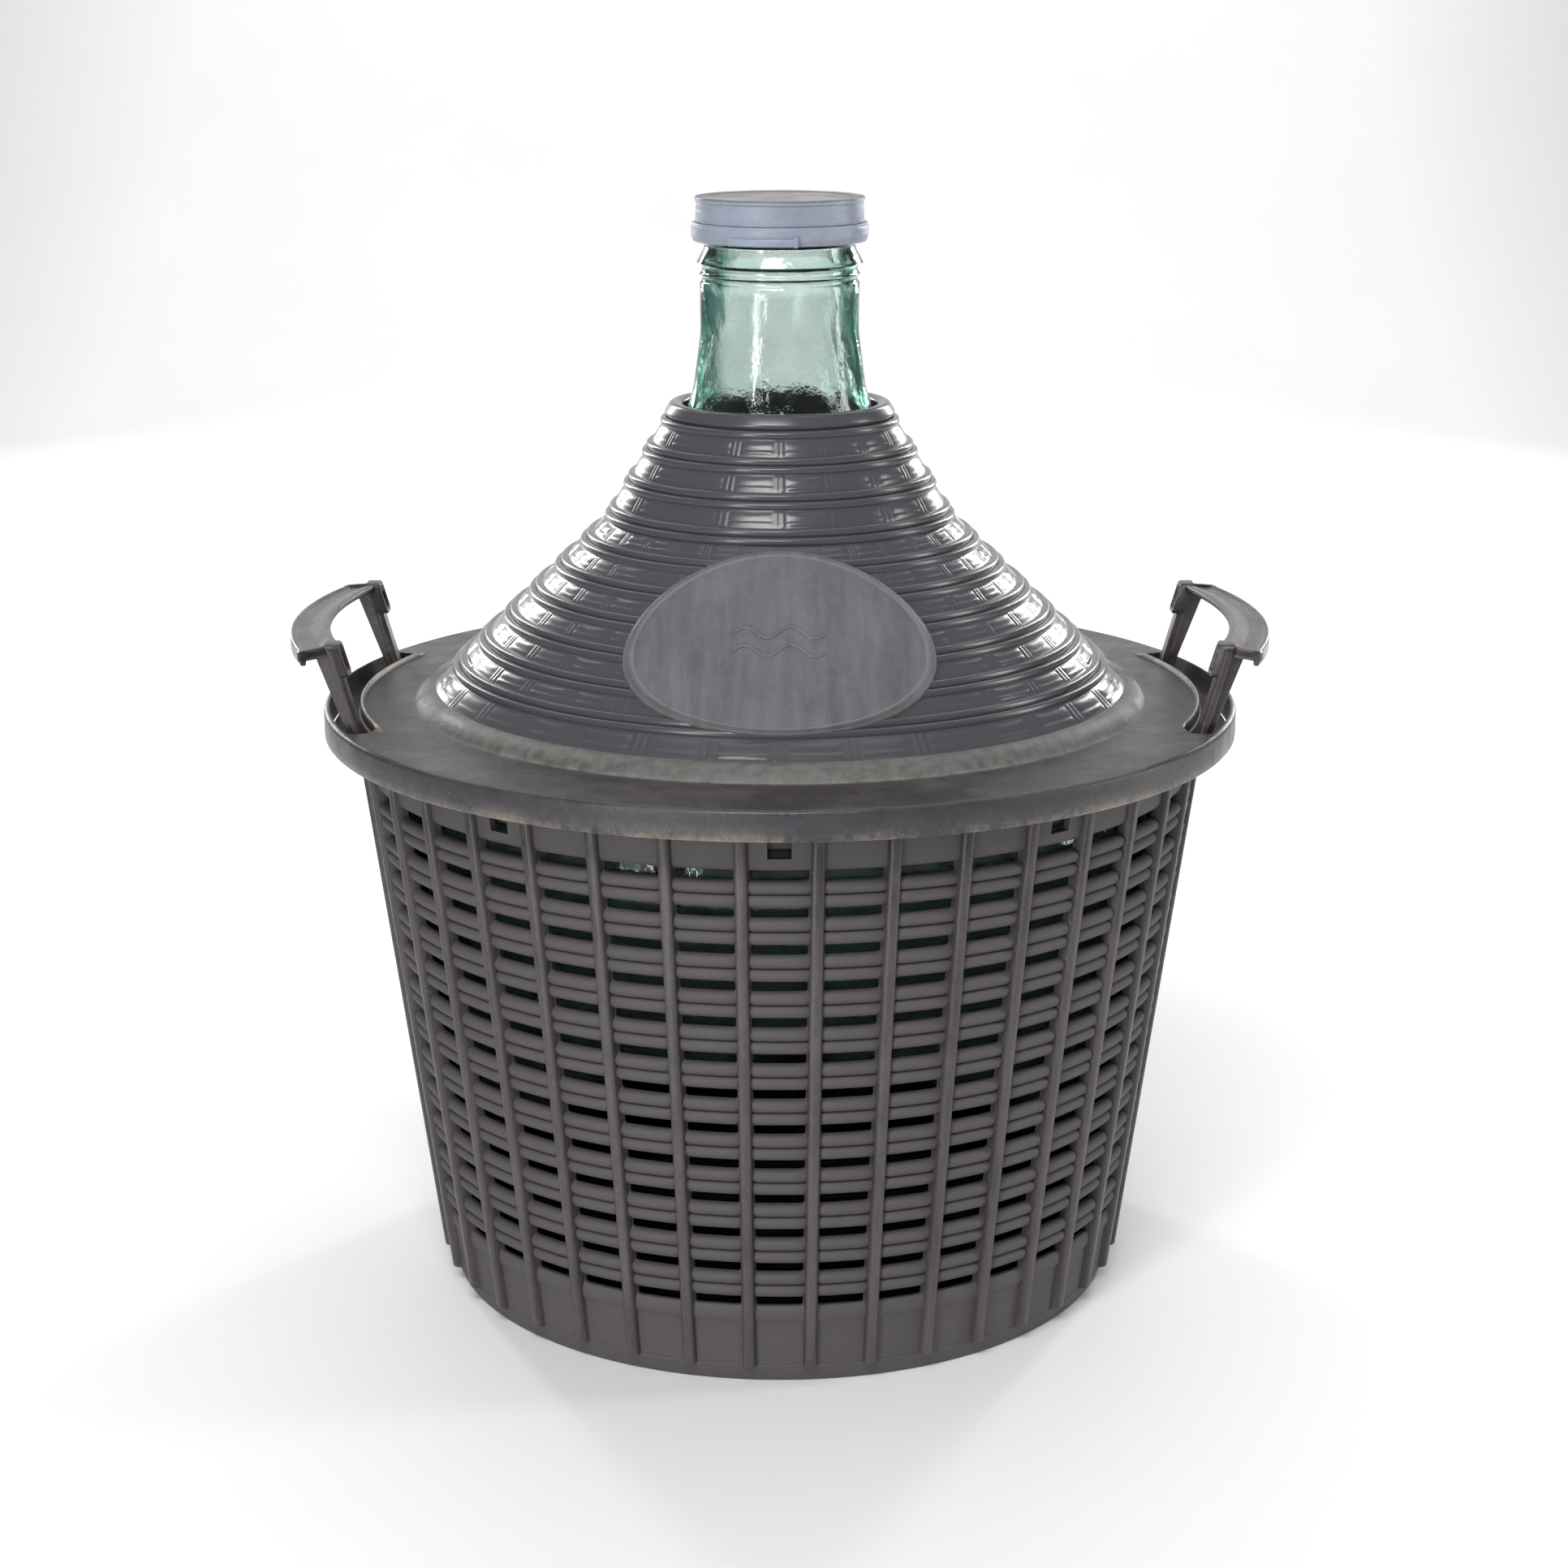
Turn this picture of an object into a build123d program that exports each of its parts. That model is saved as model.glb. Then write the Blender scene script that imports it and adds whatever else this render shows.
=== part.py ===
from build123d import *
import math
import os

# Ten-litre wide-mouth glass demijohn in a slatted plastic basket with a conical cover.
# Millimetres. Origin at the centre of the basket's foot, +Z up, handles on +X and -X,
# the cover's oval panel facing -Y.

# Basket: a tapered tub of upright ribs and level slats
BASKET_HEIGHT = 204.0
BASKET_R_FOOT = 119.0
BASKET_R_RIM = 146.2
BASKET_WALL = 2.4
FOOT_RING_HEIGHT = 6.8
FOOT_RING_INSET = 2.6
FOOT_RING_WIDTH = 9.0
FLOOR_Z = 3.0
FLOOR_THICK = 2.6
RIB_COUNT = 38
RIB_WIDTH = 4.4
RIB_PROUD = 3.0
RIB_TOP_DROP = 8.5
STRIP_WIDTH = 5.6
SLOT_ROWS = 13
SLOT_HEIGHT = 3.5
FIRST_SLOT_Z = 30.5
LAST_SLOT_DROP = 23.0
WINDOW_WIDTH = 7.5
WINDOW_HEIGHT = 7.7
WINDOW_DROP = 9.5
WINDOW_BAYS = (0, 4, 7, 12, 15, 19, -15, -12, -7, -4)
DRAIN_COUNT = 12
DRAIN_R = 4.0
DRAIN_PITCH_R = 62.0

# Cover: two cones, a rounded foot, a flat flange and a skirt. Rises are above the flange,
# insets and reaches are from the basket's rim.
COVER_WALL = 2.1
COVER_RISE = 101.0
COVER_HOLE_GAP = 3.2
COVER_RING_WIDTH = 3.1
KINK_R = 59.7
KINK_RISE = 62.2
CONE_FOOT_INSET = 26.7
CONE_FOOT_RISE = 5.0
FOOT_WIDTH = 7.1
FOOT_CROWN = 0.8
FLANGE_THICK = 2.0
SKIRT_REACH = 11.8
SKIRT_DROP = 10.0
SKIRT_WALL = 1.9
SKIRT_EDGE_RADIUS = 1.6
UPPER_PERIODS = 4
LOWER_PERIODS = 7
BEAD_PAIR_SHARE = 0.44
COVER_BEAD_PROUD = 0.9
PANEL_HALF_WIDTH = 50.5
PANEL_HALF_HEIGHT = 35.5
PANEL_SLANT = 38.3
PANEL_PROUD = 1.5
TONGUE_WIDTH = 9.0
TONGUE_THICK = 1.6
TONGUE_GAP = 0.4
TONGUE_LENGTH = 15.0

# Glass bottle. Neck rises are above the top of the cover.
GLASS_WALL = 3.6
BOTTLE_TO_BASKET = 2.6
BOTTLE_TO_COVER = 4.2
PUNT_HEIGHT = 12.0
FOOT_LAND_R = 92.0
HEEL_RADIUS = 20.0
SHOULDER_RADIUS = 34.0
NECK_ROOT_RADIUS = 45.0
NECK_FLARE_RADIUS = 40.0
NECK_BEND_RADIUS = 30.0
NECK_R_LOW = 30.0
NECK_R = 27.0
NECK_LOW_RISE = 1.0
NECK_STRAIGHT_RISE = 24.0
LOWER_RING_RISE = 42.4
LOWER_RING_PROUD = 2.3
LOWER_RING_HEIGHT = 2.6
BEAD_RISE = 45.9
BEAD_PROUD = 3.3
BEAD_HEIGHT = 3.6
COLLAR_INSET = 1.3
MOUTH_LOW_RISE = 54.0
MOUTH_TOP_RISE = 67.8
MOUTH_R = 26.9
MOUTH_WALL = 4.3
MOUTH_CHAMFER = 1.5

# Cap and its tear strip
CAP_TOP_THICK = 1.7
CAP_WALL = 1.5
CAP_GAP = 0.3
CAP_DISC_INSET = 0.2
CAP_SKIRT_HEIGHT = 6.8
STRIP_HEIGHT = 6.2
STRIP_WALL = 2.2
STRIP_STEP = 1.2
TAB_LENGTH = 23.0
TAB_HEIGHT = 2.6
TAB_PROUD = 0.8

# Handles, and the slots that they come up through
HINGE_DROP = 4.5
ROOT_R = 2.5
ROOT_GAP = 0.3
ROOT_TO_WALL = 0.75
LEG_Y = 53.0
LEG_STRAP_WIDTH = 8.0
LEG_STRAP_THICK = 2.6
LEG_WEB_THICK = 2.6
LEG_WEB_ROOT = 4.5
LEG_RUN_OUT = 9.2
LEG_TOP_DEPTH = 9.6
GRIP_TOP_RISE = 28.4
GRIP_IN_REACH = 8.4
GRIP_WIDTH = 14.4
GRIP_OVERRUN = 2.2
GRIP_TILT_DROP = 2.0
GRIP_THICK = 2.5
GRIP_RIM_DROP = 6.6
GRIP_RIM_WALL = 2.0
GRIP_END_LIP = 2.2
GRIP_END_DROP = 4.6
GRIP_END_PROUD = 0.8
BRACKET_THICK = 2.4
BRACKET_REACH = 2.6
SLOT_IN_INSET = 0.6
SLOT_END_GAP = 4.4
LIP_WIDTH = 1.6
LIP_PROUD = 1.6

# Places that follow from them
FLANGE_TOP_Z = BASKET_HEIGHT + FLANGE_THICK
FLOOR_TOP_Z = FLOOR_Z + FLOOR_THICK
BAY_ANGLE = 360 / RIB_COUNT
FRONT_ANGLE = -90
SIDES = (0, 180)


def wall_r(z):
    """Outside radius of the basket wall at height z."""
    return BASKET_R_FOOT + (BASKET_R_RIM - BASKET_R_FOOT) * z / BASKET_HEIGHT


def turned(outline, half_angle=180, at_angle=0):
    """Turn a closed outline, drawn as radius and height, about Z through twice half_angle."""
    face = Plane.XZ * make_face(outline)
    return Rot(0, 0, at_angle - half_angle) * revolve(face, Axis.Z, 2 * half_angle)


def ring(r_in, r_out, z_low, z_high, half_angle=180, at_angle=0):
    """A ring, or a sector of one, of rectangular section."""
    corners = [(r_in, z_low), (r_out, z_low), (r_out, z_high), (r_in, z_high)]
    return turned(Polyline(*corners, close=True), half_angle, at_angle)


def around(shape, angles):
    """Copies of a shape turned about Z."""
    return [Rot(0, 0, angle) * shape for angle in angles]


def keep_clear(start, end, gap):
    """The ends of a falling line, drawn as radius and height, moved gap in towards the axis."""
    run = (end - start).normalized()
    inward = Vector(run.Y, -run.X) * gap
    return start + inward, end + inward


def meeting(a, b, c, d):
    """The point where the line through a and b meets the line through c and d."""
    u, v, w = b - a, d - c, c - a
    return a + u * ((w.X * v.Y - w.Y * v.X) / (u.X * v.Y - u.Y * v.X))


# ---------------------------------------------------------------- basket
bay_angles = [FRONT_ANGLE + i * BAY_ANGLE for i in range(RIB_COUNT)]
rib_angles = [angle + BAY_ANGLE / 2 for angle in bay_angles]
window_angles = [bay_angles[bay] for bay in WINDOW_BAYS]
last_slot_z = BASKET_HEIGHT - LAST_SLOT_DROP
slot_pitch = (last_slot_z - FIRST_SLOT_Z) / (SLOT_ROWS - 1)
hinge_z = BASKET_HEIGHT - HINGE_DROP
leg_inner_y = LEG_Y - LEG_STRAP_WIDTH / 2
hinge_x = math.sqrt(wall_r(hinge_z) ** 2 - leg_inner_y**2) + ROOT_TO_WALL + ROOT_R


def basket_wall():
    """The tapered wall, above the foot ring, before anything is cut."""
    low, high = FOOT_RING_HEIGHT, BASKET_HEIGHT
    corners = [(wall_r(low) - BASKET_WALL, low), (wall_r(low), low)]
    corners += [(wall_r(high), high), (wall_r(high) - BASKET_WALL, high)]
    return turned(Polyline(*corners, close=True))


def wall_cutter(z, width, height):
    """A box that cuts an opening through the wall at height z, on +X."""
    return Pos(wall_r(z) - BASKET_WALL / 2, 0, z) * Box(4 * BASKET_WALL, width, height)


def slot_cutters():
    """One box for each slot, as wide as its bay less the solid strip behind a rib."""
    cutters = []
    for row in range(SLOT_ROWS):
        z = FIRST_SLOT_Z + row * slot_pitch
        width = wall_r(z) * math.radians(BAY_ANGLE) - STRIP_WIDTH
        cutters += around(wall_cutter(z, width, SLOT_HEIGHT), bay_angles)
    return cutters


def window_cutters():
    """The clip windows in the solid band under the rim."""
    z = BASKET_HEIGHT - WINDOW_DROP - WINDOW_HEIGHT / 2
    return around(wall_cutter(z, WINDOW_WIDTH, WINDOW_HEIGHT), window_angles)


def rib():
    """One upright rib on the outside of the wall, sunk into it and standing proud."""
    low, high = FOOT_RING_HEIGHT, BASKET_HEIGHT - RIB_TOP_DROP
    sunk = BASKET_WALL / 2
    corners = [(wall_r(low) - sunk, low), (wall_r(low) + RIB_PROUD, low)]
    corners += [(wall_r(high) + RIB_PROUD, high), (wall_r(high) - sunk, high)]
    return extrude(Plane.XZ * make_face(Polyline(*corners, close=True)), RIB_WIDTH / 2, both=True)


def handle_brackets():
    """Four ledges on the wall that the handle roots stand over."""
    top = hinge_z - ROOT_R - ROOT_GAP
    reach = hinge_x + BRACKET_REACH
    block = Box(reach, LEG_STRAP_WIDTH, BRACKET_THICK)
    inside = Cylinder(wall_r(top) - BASKET_WALL / 2, 2 * BASKET_HEIGHT)
    ledges = []
    for y in (-LEG_Y, LEG_Y):
        ledge = Pos(reach / 2, y, top - BRACKET_THICK / 2) * block - inside
        ledges += around(ledge, SIDES)
    return ledges


def basket_foot():
    """The foot ring, set in under the wall, and the drained floor that joins it."""
    joint_r = wall_r(FOOT_RING_HEIGHT)
    foot_out = joint_r - FOOT_RING_INSET
    foot_in = foot_out - FOOT_RING_WIDTH
    corners = [(foot_in, 0), (foot_out, 0), (joint_r, FOOT_RING_HEIGHT)]
    corners += [(joint_r - BASKET_WALL, FOOT_RING_HEIGHT)]
    corners += [(foot_out - BASKET_WALL, FLOOR_TOP_Z), (foot_in, FLOOR_TOP_Z)]
    floor = Pos(0, 0, FLOOR_Z + FLOOR_THICK / 2) * Cylinder(foot_in, FLOOR_THICK)
    drain = Pos(DRAIN_PITCH_R, 0, FLOOR_Z) * Cylinder(DRAIN_R, 4 * FLOOR_THICK)
    floor -= around(drain, [i * 360 / DRAIN_COUNT for i in range(DRAIN_COUNT)])
    return turned(Polyline(*corners, close=True)) + floor


basket = basket_wall() - (slot_cutters() + window_cutters())
basket += around(rib(), rib_angles) + handle_brackets()
basket += basket_foot()

# ---------------------------------------------------------------- cover outline
cover_top_z = FLANGE_TOP_Z + COVER_RISE
hole_r = NECK_R_LOW + COVER_HOLE_GAP
skirt_r = BASKET_R_RIM + SKIRT_REACH
skirt_in = skirt_r - SKIRT_WALL
cover_top = Vector(hole_r + COVER_RING_WIDTH, cover_top_z)
kink = Vector(KINK_R, FLANGE_TOP_Z + KINK_RISE)
cone_foot = Vector(BASKET_R_RIM - CONE_FOOT_INSET, FLANGE_TOP_Z + CONE_FOOT_RISE)

# ---------------------------------------------------------------- glass bottle
bore_r = MOUTH_R - MOUTH_WALL
bead_z = cover_top_z + BEAD_RISE
mouth_low_z = cover_top_z + MOUTH_LOW_RISE
mouth_top_z = cover_top_z + MOUTH_TOP_RISE
side_gap = BASKET_WALL + BOTTLE_TO_BASKET
side_low = Vector(wall_r(FLOOR_TOP_Z) - side_gap, FLOOR_TOP_Z)
side_high = Vector(BASKET_R_RIM - side_gap, BASKET_HEIGHT)
under_cone = keep_clear(kink, cone_foot, COVER_WALL + BOTTLE_TO_COVER)
under_top = keep_clear(cover_top, kink, COVER_WALL + BOTTLE_TO_COVER)
shoulder = meeting(side_low, side_high, *under_cone)
neck_root = meeting(*under_cone, *under_top)


def bottle_body(wall):
    """The bottle's body and neck as a solid, taken in by wall all round."""
    base_z = FLOOR_TOP_Z + wall
    points = [
        (0, base_z),
        (side_low.X - wall, base_z),
        (shoulder.X - wall, shoulder.Y - wall / 2),
        (neck_root.X - wall, neck_root.Y - wall / 2),
        (NECK_R_LOW - wall, cover_top_z + NECK_LOW_RISE),
        (NECK_R - wall, cover_top_z + NECK_STRAIGHT_RISE),
        (NECK_R - wall, mouth_top_z),
    ]
    radii = [HEEL_RADIUS - wall, SHOULDER_RADIUS - wall]
    radii += [NECK_ROOT_RADIUS, NECK_FLARE_RADIUS, NECK_BEND_RADIUS]
    side = FilletPolyline(*points, radius=radii)
    return turned([side, Polyline(points[-1], (0, mouth_top_z), points[0])])


def neck_ring(z, height, proud):
    """A rounded ring moulded round the neck."""
    low, high = z - height / 2, z + height / 2
    back_r = NECK_R - GLASS_WALL / 2
    crest = ThreePointArc((NECK_R, low), (NECK_R + proud, z), (NECK_R, high))
    back = Polyline((NECK_R, high), (back_r, high), (back_r, low), (NECK_R, low))
    return turned([crest, back])


def mouth():
    """The neck above the bead: a cone up to the collar, and the lip that the cap presses on."""
    collar_r = MOUTH_R - COLLAR_INSET
    cut = MOUTH_CHAMFER
    corners = [(0, bead_z), (NECK_R + BEAD_PROUD / 2, bead_z), (collar_r, mouth_low_z - cut)]
    corners += [(collar_r, mouth_low_z), (MOUTH_R, mouth_low_z + cut)]
    corners += [(MOUTH_R, mouth_top_z - cut), (MOUTH_R - cut, mouth_top_z), (0, mouth_top_z)]
    return turned(Polyline(*corners, close=True))


def punt():
    """The hollow under the bottle: the cone to cut, and the glass that lies over it."""
    hollow = [(0, FLOOR_TOP_Z), (FOOT_LAND_R, FLOOR_TOP_Z), (0, FLOOR_TOP_Z + PUNT_HEIGHT)]
    corners = [(0, FLOOR_TOP_Z), (FOOT_LAND_R, FLOOR_TOP_Z)]
    corners += [(FOOT_LAND_R, FLOOR_TOP_Z + GLASS_WALL)]
    corners += [(0, FLOOR_TOP_Z + PUNT_HEIGHT + GLASS_WALL)]
    return turned(Polyline(*hollow, close=True)), turned(Polyline(*corners, close=True))


bottle = bottle_body(0) - ring(0, NECK_R + BEAD_PROUD, bead_z, mouth_top_z)
bottle += neck_ring(cover_top_z + LOWER_RING_RISE, LOWER_RING_HEIGHT, LOWER_RING_PROUD)
bottle += neck_ring(bead_z, BEAD_HEIGHT, BEAD_PROUD)
bottle += mouth()
inside = bottle_body(GLASS_WALL) - ring(bore_r, NECK_R, bead_z, mouth_top_z)
punt_hollow, punt_glass = punt()
bottle = bottle - inside + punt_glass - punt_hollow

# ---------------------------------------------------------------- cap and tear strip
cap_in = MOUTH_R + CAP_GAP
cap_out = cap_in + CAP_WALL
cap = ring(cap_in, cap_out, mouth_top_z - CAP_SKIRT_HEIGHT, mouth_top_z)
cap += ring(0, cap_out - CAP_DISC_INSET, mouth_top_z, mouth_top_z + CAP_TOP_THICK)

strip_out = cap_out + STRIP_STEP
strip_top_z = mouth_top_z - CAP_SKIRT_HEIGHT
strip_low_z = strip_top_z - STRIP_HEIGHT
tab_half_angle = math.degrees(TAB_LENGTH / 2 / strip_out)
strip = ring(strip_out - STRIP_WALL, strip_out, strip_low_z, strip_top_z)
strip += ring(
    strip_out - STRIP_WALL / 2,
    strip_out + TAB_PROUD,
    strip_low_z,
    strip_low_z + TAB_HEIGHT,
    tab_half_angle,
    FRONT_ANGLE - tab_half_angle / 2,
)

# ---------------------------------------------------------------- cover


def beaded_run(start, end, periods):
    """Edges down a cone that repeat a flat band and then a pair of round beads."""
    run = end - start
    out = Vector(-run.Y, run.X).normalized() * COVER_BEAD_PROUD
    edges = []
    for period in range(periods):
        marks = [0, 1 - BEAD_PAIR_SHARE, 1 - BEAD_PAIR_SHARE / 2, 1]
        a, b, c, d = [start + run * ((period + mark) / periods) for mark in marks]
        edges.append(Line(a, b))
        for high, low in ((b, c), (c, d)):
            edges.append(ThreePointArc(high, (high + low) * 0.5 + out, low))
    return edges


def cover_shell():
    """The cover's moulding: its outside outline, then its inside outline back up."""
    flange_start = Vector(cone_foot.X + FOOT_WIDTH, FLANGE_TOP_Z)
    flange_end = Vector(skirt_r - SKIRT_EDGE_RADIUS, FLANGE_TOP_Z)
    skirt_top = Vector(skirt_r, FLANGE_TOP_Z - SKIRT_EDGE_RADIUS)
    centre = Vector(flange_end.X, skirt_top.Y)
    corner = centre + Vector(1, 1).normalized() * SKIRT_EDGE_RADIUS
    crown = (cone_foot + flange_start) * 0.5 + Vector(FOOT_CROWN, FOOT_CROWN)
    lip_z = FLANGE_TOP_Z - SKIRT_DROP
    kink_in, foot_in = keep_clear(kink, cone_foot, COVER_WALL)
    outside = beaded_run(cover_top, kink, UPPER_PERIODS)
    outside += beaded_run(kink, cone_foot, LOWER_PERIODS)
    outside.append(ThreePointArc(cone_foot, crown, flange_start))
    outside.append(Line(flange_start, flange_end))
    outside.append(ThreePointArc(flange_end, corner, skirt_top))
    back = Polyline(
        skirt_top,
        (skirt_r, lip_z),
        (skirt_in, lip_z),
        (skirt_in, BASKET_HEIGHT),
        (flange_start.X - COVER_WALL, BASKET_HEIGHT),
        foot_in,
        kink_in,
        (hole_r, cover_top_z - COVER_WALL),
        (hole_r, cover_top_z),
        cover_top,
    )
    return turned(outside + [back])


def oval_panel():
    """A smooth raised oval on the front of the lower cone, curved as the cone is."""
    proud = keep_clear(kink, cone_foot, -PANEL_PROUD)
    sunk = keep_clear(kink, cone_foot, COVER_WALL / 2)
    skin = turned(Polyline(proud[0], proud[1], sunk[1], sunk[0], close=True))
    run = (cone_foot - kink).normalized()
    middle = kink + run * PANEL_SLANT
    centre = (0, -middle.X, middle.Y)
    front = Plane(origin=centre, x_dir=(1, 0, 0), z_dir=(0, run.Y, run.X))
    oval = front * Ellipse(PANEL_HALF_WIDTH, PANEL_HALF_HEIGHT)
    return skin & extrude(oval, PANEL_HALF_WIDTH, both=True)


def handle_slots():
    """The two slots' cutters, and the raised lips along their inner edges."""
    slot_in = BASKET_R_RIM - SLOT_IN_INSET
    reach_y = LEG_Y + LEG_STRAP_WIDTH / 2 + SLOT_END_GAP
    half_angle = math.degrees(math.asin(reach_y / hinge_r))
    low, high = BASKET_HEIGHT - FLANGE_THICK, FLANGE_TOP_Z + LIP_PROUD
    cutter = ring(slot_in, skirt_in, low, high, half_angle)
    lip = ring(slot_in - LIP_WIDTH, slot_in, BASKET_HEIGHT, high, half_angle)
    return around(cutter, SIDES), around(lip, SIDES)


def tongues():
    """Short tongues under the flange that stand just inside the basket wall at its windows."""
    low = BASKET_HEIGHT - TONGUE_LENGTH
    r_out = wall_r(low) - BASKET_WALL - TONGUE_GAP
    half_angle = math.degrees(TONGUE_WIDTH / 2 / r_out)
    tongue = ring(r_out - TONGUE_THICK, r_out, low, BASKET_HEIGHT + FLANGE_THICK / 2, half_angle)
    return around(tongue, window_angles)


hinge_r = math.hypot(hinge_x, LEG_Y)
slot_cuts, slot_lips = handle_slots()
cover = cover_shell() + oval_panel() - slot_cuts + slot_lips + tongues()

# ---------------------------------------------------------------- handles
grip_in = BASKET_R_RIM + GRIP_IN_REACH
grip_out = grip_in + GRIP_WIDTH
grip_top_z = FLANGE_TOP_Z + GRIP_TOP_RISE
grip_half_angle = math.degrees(math.asin((LEG_Y + GRIP_OVERRUN) / (grip_in + GRIP_WIDTH / 2)))


def leg(y):
    """One leg: a root, a flat strap leaning outwards and a web that stiffens it."""
    x_low = hinge_x - ROOT_R
    x_top, z_top = x_low + LEG_RUN_OUT, grip_top_z - GRIP_THICK
    strap = [(x_low, hinge_z), (x_low + LEG_STRAP_THICK, hinge_z)]
    strap += [(x_top + LEG_STRAP_THICK, z_top), (x_top, z_top)]
    web = [(x_low, hinge_z), (x_low + LEG_WEB_ROOT, hinge_z)]
    web += [(x_top + LEG_TOP_DEPTH, z_top), (x_top, z_top)]
    web_y = y - math.copysign(LEG_WEB_THICK / 2, y)
    shapes = [Pos(hinge_x, y, hinge_z) * Rot(90, 0, 0) * Cylinder(ROOT_R, LEG_STRAP_WIDTH)]
    for outline, at_y, thick in ((strap, y, LEG_STRAP_WIDTH), (web, web_y, LEG_WEB_THICK)):
        face = Plane.XZ.offset(-at_y) * make_face(Polyline(*outline, close=True))
        shapes.append(extrude(face, thick / 2, both=True))
    return shapes


def grip():
    """The curved grip: a sloping plate with a turned-down outer rim and a lip at each end."""
    z_out = grip_top_z - GRIP_TILT_DROP
    rim_in = grip_out - GRIP_RIM_WALL
    rim_under_z = z_out - GRIP_THICK + GRIP_TILT_DROP * GRIP_RIM_WALL / GRIP_WIDTH
    section = [(grip_in, grip_top_z), (grip_out, z_out), (grip_out, z_out - GRIP_RIM_DROP)]
    section += [(rim_in, z_out - GRIP_RIM_DROP), (rim_in, rim_under_z)]
    section += [(grip_in, grip_top_z - GRIP_THICK)]
    end_in, end_out = grip_in - GRIP_END_PROUD, grip_out + GRIP_END_PROUD
    end_section = [(end_in, grip_top_z - GRIP_END_DROP), (end_out, z_out - GRIP_END_DROP)]
    end_section += [(end_out, z_out - GRIP_THICK / 2), (end_in, grip_top_z - GRIP_THICK / 2)]
    end_half_angle = math.degrees(GRIP_END_LIP / 2 / grip_out)
    shapes = [turned(Polyline(*section, close=True), grip_half_angle)]
    for way in (-1, 1):
        angle = way * (grip_half_angle - end_half_angle)
        shapes.append(turned(Polyline(*end_section, close=True), end_half_angle, angle))
    return shapes


handle = Part() + grip() + leg(LEG_Y) + leg(-LEG_Y)

# ---------------------------------------------------------------- files
nodes = {
    "basket": basket,
    "glass_bottle": bottle,
    "cover": cover,
    "cap": cap,
    "cap_tear_strip": strip,
    "handle_right": handle,
    "handle_left": Rot(0, 0, 180) * handle,
}
os.makedirs("parts", exist_ok=True)
for name, shape in nodes.items():
    export_step(shape, f"parts/{name}.step")
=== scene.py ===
"""Looks of a ten-litre glass demijohn in its slatted plastic basket with a conical cover.

Laid out as an add-on: sizes and colours are properties, each piece or group of like pieces has
an operator, and the panel in the 3D view's sidebar lists them. All lengths are in metres.
"""

import math

import bmesh
import bpy
import numpy as np
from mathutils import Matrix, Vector


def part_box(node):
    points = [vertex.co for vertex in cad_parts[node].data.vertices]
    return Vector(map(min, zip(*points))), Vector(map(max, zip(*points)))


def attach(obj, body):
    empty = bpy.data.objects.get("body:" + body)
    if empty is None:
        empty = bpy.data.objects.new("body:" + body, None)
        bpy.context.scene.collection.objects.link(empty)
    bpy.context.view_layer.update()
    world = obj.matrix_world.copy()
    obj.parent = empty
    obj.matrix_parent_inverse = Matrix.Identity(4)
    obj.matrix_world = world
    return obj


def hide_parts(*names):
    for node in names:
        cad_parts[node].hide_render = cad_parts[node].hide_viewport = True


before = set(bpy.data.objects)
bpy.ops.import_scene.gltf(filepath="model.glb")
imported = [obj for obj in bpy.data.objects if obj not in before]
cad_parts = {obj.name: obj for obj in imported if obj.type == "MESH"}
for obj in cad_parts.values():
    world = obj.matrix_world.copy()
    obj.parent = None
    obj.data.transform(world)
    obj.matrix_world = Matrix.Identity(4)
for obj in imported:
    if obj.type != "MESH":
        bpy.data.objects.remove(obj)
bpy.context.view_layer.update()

bl_info = {
    "name": "Basket demijohn",
    "version": (1, 0, 0),
    "blender": (4, 5, 0),
    "location": "3D View > Sidebar > Demijohn",
    "description": "Builds the basket, cover, handles, bottle and cap of a glass demijohn",
    "category": "Add Mesh",
}

TAU = 2 * math.pi
FRONT = -math.pi / 2
SIDES = (0.0, math.pi)

# Places read from the frame
BASKET_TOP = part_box("basket")[1].z
COVER_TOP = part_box("cover")[1].z
SKIRT_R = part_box("cover")[1].y
GRIP_R_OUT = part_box("handle_right")[1].x
GRIP_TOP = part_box("handle_right")[1].z
MOUTH_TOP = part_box("glass_bottle")[1].z
CAP_LOW, CAP_HIGH = (corner.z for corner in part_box("cap"))
CAP_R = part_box("cap")[1].x
STRIP_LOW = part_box("cap_tear_strip")[0].z
STRIP_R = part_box("cap_tear_strip")[1].x

# Basket
WALL_R_FOOT = 0.119
WALL_R_RIM = SKIRT_R - 0.0118
FOOT_TOP = 0.0068
FOOT_INSET = 0.0026
FOOT_WIDTH = 0.009
FLOOR_LOW = 0.003
FLOOR_TOP = 0.0056
DRAIN_COUNT = 12
DRAIN_R = 0.004
DRAIN_PITCH_R = 0.062
RIB_TOP = BASKET_TOP - 0.0085
SLOT_ROWS = 13
FIRST_SLOT = 0.0305
LAST_SLOT = BASKET_TOP - 0.023
WINDOW_WIDTH = 0.0075
WINDOW_HEIGHT = 0.0077
WINDOW_TOP = BASKET_TOP - 0.0095
WINDOW_BAYS = (0, 4, 7, 12, 15, 19, 23, 26, 31, 34)
LEDGE_TOP = BASKET_TOP - 0.0073
LEDGE_THICK = 0.0024

# Handles
LEG_Y = 0.053
LEG_LEAN = 0.0092
LEG_RISE = 0.032
WEB_LOW = 0.0048
WEB_HIGH = 0.0078
HINGE_Z = BASKET_TOP - 0.0045
HINGE_R = 0.0025

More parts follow.
